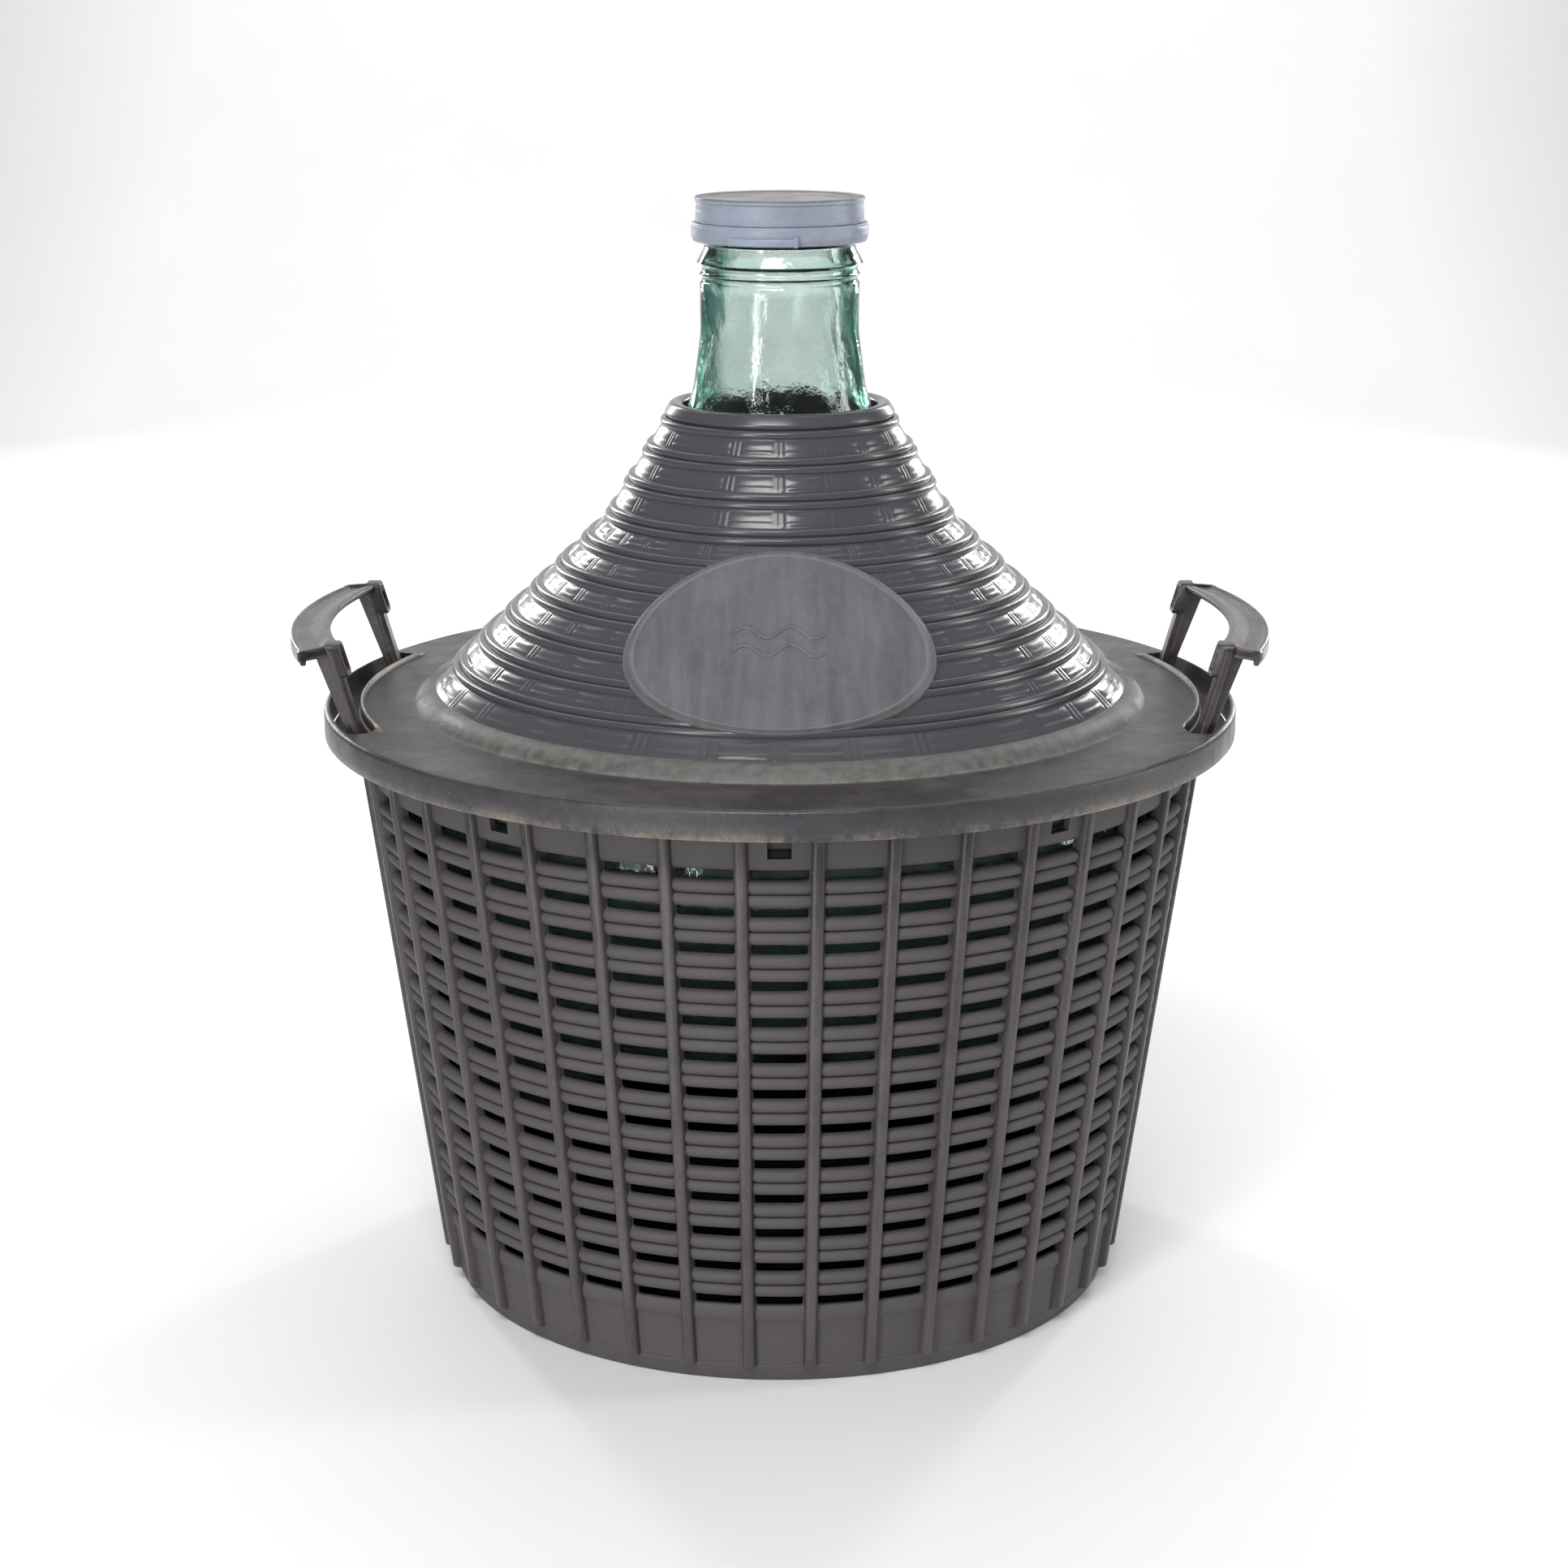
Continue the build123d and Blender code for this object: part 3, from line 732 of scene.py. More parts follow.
def glass_material(name, tint, depth, painted_shade_below):
    """Clear glass, tinted by its thickness, with painted shade where it is seen edge on: there its
    colour turns dark green.

    Below a height the glass carries painted shade, a darker colour for the shadow of the basket
    and cover round it.
    """
    material, graph, shader = new_material(name)
    at = graph.add("ShaderNodeTexCoord", "Object")
    drawn = graph.stretched(at, (1.0, 1.0, 0.45))
    slow = graph.noise(drawn, 70.0, 2.0, 0.5)
    quick = graph.noise(at, 520.0, 3.0, 0.6)
    height = graph.math("ADD", slow, graph.math("MULTIPLY", quick, 0.12))
    bump = graph.add(
        "ShaderNodeBump", inputs={"Height": height, "Strength": 0.6, "Distance": 0.0018}
    )
    graph.tree.links.new(bump, shader.inputs["Normal"])
    z = graph.add("ShaderNodeSeparateXYZ", "Z", {0: at})
    # Painted shade: below a given height the glass turns darker, with a ragged edge, for the
    # shadow of the basket and cover
    ragged = graph.math("ADD", z, graph.math("MULTIPLY", graph.noise(at, 130.0, 4.0), 0.008))
    painted_shade = graph.spread(ragged, painted_shade_below, painted_shade_below - 0.006)
    # Painted shade: the colour turns dark green where the glass is seen edge on
    facing = graph.add("ShaderNodeLayerWeight", "Facing", {"Blend": 0.5})
    base = graph.mix(graph.spread(facing, 0.24, 0.60), GLASS_CLEAR, GLASS_PAINTED_EDGE_SHADE)
    base = graph.mix(painted_shade, base, GLASS_PAINTED_SHADE)
    graph.tree.links.new(base, shader.inputs["Base Color"])
    shader.inputs["Roughness"].default_value = 0.012
    shader.inputs["IOR"].default_value = 1.5
    shader.inputs["Transmission Weight"].default_value = 1.0
    absorb = graph.tree.nodes.new("ShaderNodeVolumeAbsorption")
    absorb.inputs["Color"].default_value = with_alpha(tint)
    absorb.inputs["Density"].default_value = depth
    output = graph.tree.nodes["Material Output"]
    graph.tree.links.new(absorb.outputs[0], output.inputs["Volume"])
    return material


def milky_material(name, tint, top_tint, top_z):
    """Milky polyethylene, darker above top_z, with scuffs and a soft inner glow."""
    material, graph, shader = new_material(name)
    at = graph.add("ShaderNodeTexCoord", "Object")
    grain = use_group(graph, "Moulded grain", {"Vector": at, "Scale": 1100.0})
    streaks = use_group(graph, "Streaks", {"Vector": at, "Way": (40.0, 40.0, 700.0)})
    z = graph.add("ShaderNodeSeparateXYZ", "Z", {0: at})
    top = graph.spread(z, top_z - 0.0002, top_z + 0.0004)
    dark = with_alpha([c * 0.86 for c in tint])
    pale = with_alpha([min(1.0, c * 1.15) for c in tint])
    base = graph.mix(grain["Tone"], dark, pale)
    base = graph.mix(top, base, with_alpha(top_tint))
    scuff = graph.math("MULTIPLY", streaks["Scratch"], 0.5)
    base = graph.mix(scuff, base, SCUFF)
    rough = graph.spread(streaks["Tone"], 0.2, 0.8, 0.30, 0.46)
    height = graph.math("ADD", grain["Height"], graph.math("MULTIPLY", streaks["Tone"], 0.7))
    bump = graph.add(
        "ShaderNodeBump", inputs={"Height": height, "Strength": 0.3, "Distance": 0.0004}
    )
    tree = graph.tree
    tree.links.new(base, shader.inputs["Base Color"])
    tree.links.new(rough, shader.inputs["Roughness"])
    tree.links.new(bump, shader.inputs["Normal"])
    shader.inputs["Subsurface Weight"].default_value = 0.12
    shader.inputs["Subsurface Radius"].default_value = (0.5, 0.6, 1.0)
    shader.inputs["Subsurface Scale"].default_value = 0.003
    return material


# ------------------------------------------------------------------ basket


def basket_rows(sizes):
    """Heights of the wall's grid rows and how far each stands off the taper.

    The two beads of a slat are half circles drawn out to the bead's height, their feet sunk
    below the taper. Under the lowest slot a small ledge slopes back to the plain band. Returns
    heights, offsets, the rows below the slots, and the row below the windows.
    """
    turns = np.radians([-82, -56, -24, 14, 46, 70, 82])
    share = np.sin(turns) / np.sin(turns[-1]) / 2 + 0.5
    off_bead = (np.cos(turns) - np.cos(turns[0])) * sizes.bead - sizes.sunk
    pitch = (LAST_SLOT - FIRST_SLOT) / (SLOT_ROWS - 1)
    half = sizes.slot / 2
    ledge = FIRST_SLOT - half
    z = [FOOT_TOP, 0.5 * (FOOT_TOP + ledge), ledge - 0.0062, ledge - 0.0054, ledge - 0.0044]
    off = [-0.0004, -0.0004, -0.0004, -0.0001, 0.0004]
    z += [ledge - 0.0016, ledge - 0.0006, ledge]
    off += [0.0001, -0.0003, -sizes.sunk]
    slot_after = [len(z) - 1]
    for row in range(SLOT_ROWS - 1):
        bottom = FIRST_SLOT + row * pitch + half
        bead_run = (pitch - sizes.slot) / 2
        for bead in range(2):
            heights = bottom + (bead + share) * bead_run
            z += list(heights[bead:])
            off += list(off_bead[bead:])
        slot_after.append(len(z) - 1)
    top_edge = LAST_SLOT + half
    z += [top_edge, top_edge + 0.0006, top_edge + 0.0016, WINDOW_TOP - WINDOW_HEIGHT]
    off += [-sizes.sunk, -0.0004, 0.0, 0.0]
    window_after = len(z) - 1
    z += [WINDOW_TOP, 0.5 * (WINDOW_TOP + BASKET_TOP), BASKET_TOP - 0.0006, BASKET_TOP]
    off += [0.0, 0.0, 0.0, -0.0006]
    return np.array(z), np.array(off), slot_after, window_after


def basket_wall(sizes):
    """The tapered wall with its slots and clip windows.

    A point's radius is the taper's at its height plus the row's offset; its angle is the bay's
    plus a share of the bay that keeps every strip the same width all the way up.
    """
    z, off, slot_after, window_after = basket_rows(sizes)
    bay = TAU / sizes.ribs
    r = wall_r(z)[:, None]
    slot_half = (bay - sizes.strip / r) / 2
    corner = 0.0007 / r
    window = WINDOW_WIDTH / 2 / r
    inside = [-slot_half, corner - slot_half, -window, window, slot_half - corner, slot_half]
    inside = np.hstack(inside)
    per_bay = inside.shape[1]
    bays = FRONT + np.arange(sizes.ribs) * bay
    angles = (bays[None, :, None] + inside[:, None, :]).reshape(len(z), -1)
    heights = np.repeat(z[:, None], angles.shape[1], axis=1)
    ends = np.tile(np.isin(np.arange(per_bay), (0, per_bay - 1)), sizes.ribs)
    offsets = np.repeat(off[:, None], angles.shape[1], axis=1)
    between = (z > FIRST_SLOT) & (z < LAST_SLOT + 0.0022)
    offsets[np.ix_(between, ends)] -= 0.0005
    for row in slot_after:
        heights[row, ends] += 0.0004
        heights[row + 1, ends] -= 0.0004
    keep = np.ones((len(z) - 1, angles.shape[1]), bool)
    column = np.arange(angles.shape[1]) % per_bay
    open_columns = column < per_bay - 1
    for row in slot_after:
        keep[row, open_columns] = False
    bay_of = np.arange(angles.shape[1]) // per_bay
    keep[window_after, np.isin(bay_of, WINDOW_BAYS) & (column == 2)] = False
    taper = wall_r(heights)
    held = np.clip(-offsets / sizes.sunk, 0, 1) * 0.14 + ends * between[:, None] * 0.40
    pitch = (LAST_SLOT - FIRST_SLOT) / (SLOT_ROWS - 1)
    up_slat = ((z - FIRST_SLOT) / pitch) % 1.0
    # Painted sheen: the upper part of every slat, over the top of its upper bead, turns lighter
    # and bluish; the plain band below the slots takes a quarter of that colour
    cool = smooth_step(up_slat, 0.62, 0.80) * between + (z < FIRST_SLOT) * 0.25
    outer = polar(taper + offsets, angles, heights)
    inner = polar(taper - sizes.wall, angles, heights)
    return walled(outer, inner, keep, held=held, cool=cool[:, None])


def basket_ribs(sizes):
    """Upright ribs: a rounded section carried up the taper, turned to each bay's edge."""
    half, proud = sizes.rib_width / 2, sizes.rib_proud
    corners = [(-half, -0.0014), (-0.80 * half, proud), (0.80 * half, proud), (half, -0.0014)]
    section = rounded(corners, (0, 0.0014, 0.0014, 0), 4)
    stations = [(FOOT_TOP - 0.0004, 0.75), (FOOT_TOP, 1.0), (RIB_TOP - 0.001, 1.0), (RIB_TOP, 0.7)]
    z = np.array([station[0] for station in stations])
    share = np.array([station[1] for station in stations])
    along = section[:, 0][:, None] * (0.9 + 0.1 * share)
    out = wall_r(z) + np.where(section[:, 1][:, None] > 0, share, 1) * section[:, 1][:, None]
    rib = closed_grid(
        np.stack([out, along, z + 0 * out], -1),
        wrap_columns=False,
        caps=True,
        worn=smooth_step(section[:, 1], 0.6 * proud, proud)[:, None] * 0.04,
    )
    bay = TAU / sizes.ribs
    return [spun(rib, FRONT + (i + 0.5) * bay) for i in range(sizes.ribs)]


def basket_foot(sizes):
    """The foot ring with rounded edges, and the drained floor inside it."""
    joint_r = wall_r(FOOT_TOP)
    foot_out = joint_r - FOOT_INSET
    foot_in = foot_out - FOOT_WIDTH
    corners = [(foot_in, 0), (foot_out, 0), (joint_r, FOOT_TOP), (joint_r - sizes.wall, FOOT_TOP)]
    corners += [(foot_out - sizes.wall, FLOOR_TOP), (foot_in, FLOOR_TOP)]
    outline = rounded(corners, (0.0008, 0.0012, 0.0006, 0, 0, 0), 4)
    return [ring(outline, 4 * sizes.ribs), drained_floor(foot_in + 0.0005)]


def drained_floor(radius):
    """A round floor with a ring of drain holes.

    Round each hole the grid is square; points inside the square are drawn in to circles, so
    that the middle cells, left open, have a round edge.
    """
    local = np.array([-1.7, -1.0, -0.5, 0.0, 0.5, 1.0, 1.7]) * DRAIN_R
    radii = np.concatenate([[0.0, 0.02, 0.04], DRAIN_PITCH_R + local, [0.08, 0.095, radius]])
    step = TAU / DRAIN_COUNT
    angles = np.concatenate([local / DRAIN_PITCH_R, [0.4 * step, 0.6 * step]])
    angles = (np.arange(DRAIN_COUNT)[:, None] * step + angles).ravel()
    r, a = np.meshgrid(radii, angles, indexing="ij")
    middle = np.round(a / step) * step
    u, v = (r - DRAIN_PITCH_R) / DRAIN_R, (a - middle) * DRAIN_PITCH_R / DRAIN_R
    size = np.maximum(np.abs(u), np.abs(v))
    round_share = np.where(size <= 1.001, size / np.maximum(np.hypot(u, v), 1e-9), 1.0)
    r = DRAIN_PITCH_R + u * round_share * DRAIN_R
    r[:3], r[-3:] = radii[:3, None], radii[-3:, None]
    a = middle + v * round_share * DRAIN_R / DRAIN_PITCH_R
    mid_r = (radii[:-1] + radii[1:]) / 2
    mid_a = angles + np.diff(np.append(angles, TAU + angles[0])) / 2
    near = np.abs(mid_a - np.round(mid_a / step) * step) * DRAIN_PITCH_R < DRAIN_R
    hole = (np.abs(mid_r - DRAIN_PITCH_R) < DRAIN_R)[:, None] & near
    return walled(polar(r, a, FLOOR_TOP), polar(r, a, FLOOR_LOW), ~hole)


def basket_ledges(sizes):
    """A ledge on the wall under each slot of the cover, for the handles' roots to stand over."""
    low = LEDGE_TOP - LEDGE_THICK
    inside = wall_r(LEDGE_TOP) - sizes.wall / 2
    reach = SKIRT_R - SKIRT_WALL - 0.0005
    corners = [(inside, low), (reach, low), (reach, LEDGE_TOP), (inside, LEDGE_TOP)]
    outline = rounded(corners, 0.0006)
    return [sector(outline, side - SLOT_HALF, side + SLOT_HALF, 40) for side in SIDES]


# ------------------------------------------------------------------ cover


def woven_rows(bands):
    """Rows down a cone from a list of flats and beads and their widths along the slope.

    Returns each row's distance down the slope, its share across a flat (below zero on a bead),
    its bead's height share, and the number of the flat that it belongs to or follows. A bead is
    the power of a sine that makes it nearly half round.
    """
    across_flat = np.array([0, 0.06, 0.13, 0.20, 0.28, 0.42, 0.56, 0.62, 0.68, 0.78, 0.86, 0.93])
    round_bead = np.array([0.0, 0.07, 0.2, 0.38, 0.56, 0.74, 0.9])
    rows, start, number = [], 0.0, -1
    for kind, width in bands:
        if kind == "flat":
            number += 1
            rows += [(start + v * width, v, 0.0, number) for v in across_flat]
        else:
            heights = np.sin(round_bead * math.pi) ** 0.65
            steps = zip(round_bead, heights)
            rows += [(start + v * width, -1.0, high, number) for v, high in steps]
        start += width
    rows.append((start, 1.0 if bands[-1][0] == "flat" else -1.0, 0.0, number))
    return np.array(rows).T


def cone_bands(slant, flats, top_bead, foot_band):
    """Flats and pairs of beads that fill a slope, after one bead or before a last flat."""
    room = slant - (BEAD_WIDTH if top_bead else 0) - foot_band
    flat = room / flats - 2 * BEAD_WIDTH
    bands = [("bead", BEAD_WIDTH)] if top_bead else []
    bands += [("flat", flat), ("bead", BEAD_WIDTH), ("bead", BEAD_WIDTH)] * flats
    return bands + ([("flat", foot_band)] if foot_band else [])


def woven_cone(start, end, bands, uprights, skewed, sizes):
    """A cone moulded like wickerwork, with a smooth inside.

    Each flat carries uprights, each two thin cords side by side, and between them low plates
    that narrow towards their middle and have a fine wavy groove along them. Every plate has its
    own strength. Where the rings are skewed, each starts half an upright on from the last, and
    the grid lines lean over the beads to follow.
    """
    down, across, rise, ring_of = woven_rows(bands)
    run = unit(end - start)
    out = outward_of(start, end)
    pitch = TAU / uprights
    middle_r = (start[0] + end[0]) / 2
    near = np.array([0.0, 0.5, 0.95, 1.45, 2.1, 2.6, 3.2]) * 0.001 / middle_r
    local = np.concatenate([-near[:0:-1], near, [0.36 * pitch, 0.5 * pitch, 0.64 * pitch]])
    columns = (np.arange(uprights)[:, None] * pitch + local).ravel()
    on_bead = np.where(across < 0, 1, 0)
    share = np.zeros(len(down))
    for ring in np.unique(ring_of):
        part = (ring_of == ring) & (on_bead == 1)
        if part.any():
            share[part] = np.linspace(0, 1, part.sum() + 1)[:-1]
    lean = (ring_of + share) * 0.5 * pitch if skewed else 0 * down
    angles = columns[None, :] + lean[:, None] + FRONT
    base = start + run * down[:, None]
    d = np.abs((columns + 0.5 * pitch) % pitch - 0.5 * pitch)[None, :] * middle_r
    v = across[:, None]
    draw = np.random.default_rng(11)
    strength = draw.uniform(0.35, 1.0, (int(ring_of.max()) + 2, uprights))
    plate_of = np.floor(columns / pitch).astype(int) % uprights
    force = strength[ring_of.astype(int)][:, plate_of]
    waist = 0.5 - 0.5 * np.cos(columns * uprights)
    inside_band = smooth_step(v, 0.02, 0.14) * smooth_step(v, 0.99, 0.88)
    cords = CORD_HEIGHT * np.exp(-(((d - CORD_PLACE) / CORD_WIDTH) ** 2))
    cords = cords * (0.3 + 0.7 * force) + 0 * v
    wavy = 0.60 + 0.05 * np.sin(columns * uprights * 3 + 5 * lean[:, None])
    groove = np.exp(-(((v - wavy) / 0.045) ** 2)) * GROOVE_DEPTH
    sides = smooth_step(d, *PLATE_EDGE)
    border = smooth_step(v, 0.08 + 0.08 * waist, 0.20 + 0.08 * waist)
    border = border * smooth_step(v, 0.93 - 0.07 * waist, 0.83 - 0.07 * waist)
    plate = (sizes.plate - groove) * sides * border * force
    height = np.where(v < 0, 0, inside_band * cords + plate)
    height = height + (rise * sizes.bead)[:, None]
    line = np.exp(-(((d - np.mean(PLATE_EDGE)) / 0.0004) ** 2)) * inside_band * force
    rim = np.exp(-(((v - 0.10 - 0.08 * waist) / 0.05) ** 2))
    rim = rim + np.exp(-(((v - 0.91 + 0.07 * waist) / 0.05) ** 2))
    held = np.where(v < 0, 0, np.clip(line * 0.55 + rim * 0.28 * force, 0, 1))
    if bands[-1][0] == "flat":
        held[-3:] = np.array([0.1, 0.35, 0.75])[:, None]
    r = base[:, 0][:, None] + out[0] * height
    z = base[:, 1][:, None] + out[1] * height
    outer = polar(r, angles, z)
    under = base - out * COVER_WALL
    inner = polar(under[:, 0][:, None] + 0 * r, angles, under[:, 1][:, None] + 0 * r)
    thin = np.unique(np.append(np.arange(0, len(down), 14), len(down) - 1))
    shell = np.concatenate([outer, inner[thin[::-1]]])
    marks = np.concatenate([held, np.zeros((len(thin), held.shape[1]))])
    return closed_grid(shell, held=marks)


def cover_ring():
    """The plain thick ring round the cover's hole, down to the first bead."""
    out = outward_of(CONE_TOP, KINK)
    run = unit(KINK - CONE_TOP)
    corners = [(HOLE_R, COVER_TOP - 0.0032), (HOLE_R, COVER_TOP + 0.0003)]
    corners += [CONE_TOP + out * 0.0013 - run * 0.0008]
    corners += [CONE_TOP + out * 0.0013 + run * (TOP_RING - 0.0010)]
    corners += [CONE_TOP + run * TOP_RING - out * 0.0002]
    corners += [CONE_TOP + run * TOP_RING - out * COVER_WALL]
    return ring(rounded(corners, (0.0005, 0.0012, 0.0022, 0.0012, 0, 0), 6), 160, held=0.04)


def flange_outline():
    """Rows of the hump, flange and skirt: the outer outline and the inner one, row by row."""
    crown = (CONE_FOOT + FLANGE_START) / 2 + np.array([0.0008, 0.0008])
    hump = arc(CONE_FOOT, crown, FLANGE_START, 8)
    chord = outward_of(CONE_FOOT, FLANGE_START)
    hump_in = hump - chord * COVER_WALL
    hump_in[-1, 1] = BASKET_TOP
    flat_r = np.array([0.1285, 0.132, 0.136, 0.140, SLOT_IN - 0.0022])
    lip_r = SLOT_IN - np.array([0.0016, 0.0013, 0.0008, 0.0003, 0.0])
    skirt_in = SKIRT_R - SKIRT_WALL
    slot_r = np.array([SLOT_IN + 0.0035, SLOT_IN + 0.007, skirt_in])
    level = np.concatenate([flat_r, lip_r, slot_r])
    flat = np.stack([level, np.full(len(level), FLANGE_TOP)], -1)
    flat_in = np.stack([level, np.full(len(level), BASKET_TOP)], -1)
    edge = 0.0016
    centre = np.array([SKIRT_R - edge, FLANGE_TOP - edge])
    turn = np.radians([80, 60, 40, 20, 0])
    bend = centre + edge * np.stack([np.cos(turn), np.sin(turn)], -1)
    drop = np.array([FLANGE_TOP - 0.004, SKIRT_LOW + 0.003, SKIRT_LOW + 0.0006, SKIRT_LOW])
    skirt = np.stack([SKIRT_R - np.array([0, 0, 0.00005, 0.0005]), drop], -1)
    skirt_back = np.stack([np.full(4, skirt_in), drop], -1)
    bend_in = np.stack([np.full(5, skirt_in), np.linspace(BASKET_TOP, drop[0], 6)[:5]], -1)
    outer = np.vstack([hump, flat, bend, skirt])
    inner = np.vstack([hump_in, flat_in, bend_in, skirt_back])
    slot_rows = (len(hump) + len(flat_r) + len(lip_r) - 1, len(hump) + len(level) - 1)
    return outer, inner, slot_rows


def cover_flange():
    """The hump, flat flange and skirt, with the handles' slots and their raised lips.

    Angles are evenly spaced between the slots' ends. Near a slot's ends its two edges are drawn
    together to round it, and the rows along its inner edge rise by the lip's height.
    """
    outer, inner, (slot_low, slot_high) = flange_outline()
    stops = [-SLOT_HALF, SLOT_HALF, math.pi - SLOT_HALF, math.pi + SLOT_HALF, TAU - SLOT_HALF]
    counts = (46, 112, 46, 112)
    spans = zip(stops[:-1], stops[1:], counts)
    angles = np.concatenate([np.linspace(a, b, n, endpoint=False) for a, b, n in spans])
    from_end = SLOT_HALF - np.abs((angles + math.pi / 2) % math.pi - math.pi / 2)
    in_slot = from_end > -1e-6
    keep = np.ones((len(outer) - 1, len(angles)), bool)
    nearest = np.round(angles / math.pi) * math.pi
    cell = in_slot & (angles - nearest < SLOT_HALF - 1e-6)
    keep[slot_low:slot_high, cell] = False
    rounding = 0.0026 * np.clip(1 - from_end / math.radians(1.6), 0, 1) ** 2 * in_slot
    r = outer[:, 0][:, None] + 0 * angles
    z = outer[:, 1][:, None] + 0 * angles
    r_in = inner[:, 0][:, None] + 0 * angles
    z_in = inner[:, 1][:, None] + 0 * angles
    for row, way in ((slot_low, 1), (slot_high, -1)):
        r[row] += way * rounding
        r_in[row] += way * rounding
    lip = smooth_step(from_end, -0.012, 0.012)
    for row, share in ((slot_low - 3, 0.75), (slot_low - 2, 1.0), (slot_low - 1, 0.85)):
        z[row] += share * LIP_PROUD * lip
    z[slot_low] += 0.3 * LIP_PROUD * lip
    held = np.zeros(r.shape)
    hump = slice(0, 9)
    held[hump] = 0.50
    held[8] = 0.75
    held[9] = 0.05
    cool = np.zeros(r.shape)
    cool[-9:] = np.array([0.1, 0.4, 0.7, 1, 1, 1, 1, 1, 1])[:, None]
    worn = np.zeros(r.shape)
    worn[slot_low - 3 : slot_low] = 0.75 * lip
    worn[-3:] = np.array([0.15, 0.55, 0.9])[:, None]
    marks = {"held": held, "worn": worn, "cool": cool}
    return walled(polar(r, angles, z), polar(r_in, angles, z_in), keep, **marks)


def cover_tongues(basket):
    """Short tongues under the flange that stand just inside the basket wall."""
    low, high = BASKET_TOP - TONGUE_LONG, BASKET_TOP + 0.001
    r_out = wall_r(low) - basket.wall - TONGUE_GAP
    r_in = r_out - TONGUE_THICK
    corners = [(r_in, low), (r_out, low), (r_out, high), (r_in, high)]
    outline = rounded(corners, (0.0006, 0.0006, 0, 0), 3)
    half = TONGUE_HALF / r_out
    middles = FRONT + np.array(WINDOW_BAYS) * TAU / basket.ribs
    return [sector(outline, middle - half, middle + half, 6) for middle in middles]


def on_cone(a, b, height):
    """Points over the lower cone from a plane that touches it at the panel's middle.

    a runs level and b runs up the slope in that plane. Each point is carried along the plane's
    normal until it stands at the given height off the cone, by Newton's steps.
    """
    run = unit(CONE_FOOT - KINK)
    middle = KINK + run * PANEL_SLANT
    nr, nz = outward_of(KINK, CONE_FOOT)
    t = np.zeros(np.broadcast(a, b, height).shape)
    for _ in range(6):
        y = -middle[0] + run[0] * b - nr * t
        z = middle[1] - run[1] * b + nz * t
        far = np.hypot(a, y)
        off = (far - middle[0]) * nr + (z - middle[1]) * nz - height
        slope = nr * (y / far) * -nr + nz * nz
        t = t - off / slope
    y = -middle[0] + run[0] * b - nr * t
    z = middle[1] - run[1] * b + nz * t
    return np.stack([a + 0 * t, y, z], -1)


def cover_panel(sizes):
    """The smooth oval panel: rings of an ellipse laid on the cone, with a raised rim line."""
    rho = np.array([0.0, 0.2, 0.4, 0.6, 0.75, 0.86, 0.925, 0.94, 0.955, 0.97, 0.985, 0.996, 1.0])
    proud = np.full(len(rho), sizes.panel_proud)
    proud += PANEL_RIM * np.exp(-(((rho - 0.968) / 0.015) ** 2))
    proud[-2:] = sizes.panel_proud * np.array([0.95, 0.45])
    rho = np.append(rho, [1.0, 0.5, 0.0])
    proud = np.append(proud, [-0.0009, -0.0009, -0.0009])
    turn = np.arange(144) * TAU / 144
    a = rho[:, None] * sizes.panel_half_width * np.cos(turn)
    b = rho[:, None] * sizes.panel_half_height * np.sin(turn)
    held = np.zeros(len(rho))
    held[[7, 11, 12]] = (0.45, 0.6, 0.7)
    points = on_cone(a, b, proud[:, None] + 0 * a)
    return closed_grid(points, wrap_rows=False, held=held[:, None])


def panel_waves(sizes):
    """Two short raised wave lines on the panel: a half-round bead along b = h sin(k a)."""
    parts = []
    section = np.radians(np.linspace(0, 180, 7))
    for level in (0.0035, -0.0035):
        a = np.linspace(-0.015, 0.015, 61)
        b = level + 0.0022 * np.sin(a / 0.015 * 2 * math.pi)
        slope = np.gradient(b, a)
        across = np.stack([-slope, np.ones(len(a))], -1) / np.hypot(1, slope)[:, None]
        end = np.sqrt(np.clip(1 - (np.abs(a) / 0.0152) ** 24, 0.04, 1))
        w = 0.0008 * np.cos(section)[:, None] * end
        h = sizes.panel_proud - 0.0002 + 0.0006 * np.sin(section)[:, None] * end
        points = on_cone(a + across[:, 0] * w, b + across[:, 1] * w, h)
        parts.append(closed_grid(points, wrap_columns=False, caps=True))
    return parts


# ------------------------------------------------------------------ handles


def grip(sizes):
    """The curved grip: a sloping plate with a turned-down rim, carried round an arc.

    The plate is hollowed a little along its middle, and each end has a thicker lip.
    """
    r_in = SKIRT_R - 0.0034
    r_out = GRIP_R_OUT - 0.0008
    drop = 0.002
    top, low = GRIP_TOP, GRIP_TOP - sizes.plate
    rim_in = r_out - 0.0020
    middle = 0.5 * (r_in + r_out)
    corners = [(r_in, top), (r_in + 0.002, top - 0.0002), (middle, top - 0.5 * drop - 0.0008)]
    corners += [(r_out - 0.0026, top - drop - 0.0002), (r_out - 0.0014, top - drop + 0.0005)]
    corners += [(r_out, top - drop + 0.0003)]
    corners += [(r_out, top - drop - sizes.rim_drop), (rim_in, top - drop - sizes.rim_drop)]
    corners += [(rim_in, low - drop * 0.85), (r_in, low)]
    radii = (0.0008, 0.001, 0.006, 0.001, 0.001, 0.0008, 0.0008, 0.0007, 0.0007, 0.0010)
    outline = rounded(corners, radii, 5)
    half = math.asin((LEG_Y + 0.0022) / middle)
    lip_half = sizes.end_lip / 2 / r_out
    worn = smooth_step(outline[:, 1], top - 0.0022, top)[:, None] * 0.12
    parts = [sector(outline, -half, half, 48, worn=worn)]
    end_low = top - 0.0034
    lip = [(r_in - 0.0008, top + 0.0002), (r_out + 0.0008, top - drop + 0.0002)]
    lip += [(r_out + 0.0008, end_low - drop), (r_in - 0.0008, end_low)]
    lip = rounded(lip, 0.0010, 4)
    for way in (-1, 1):
        middle = way * (half - lip_half)
        parts.append(sector(lip, middle - lip_half, middle + lip_half, 5, worn=0.15))
    return parts


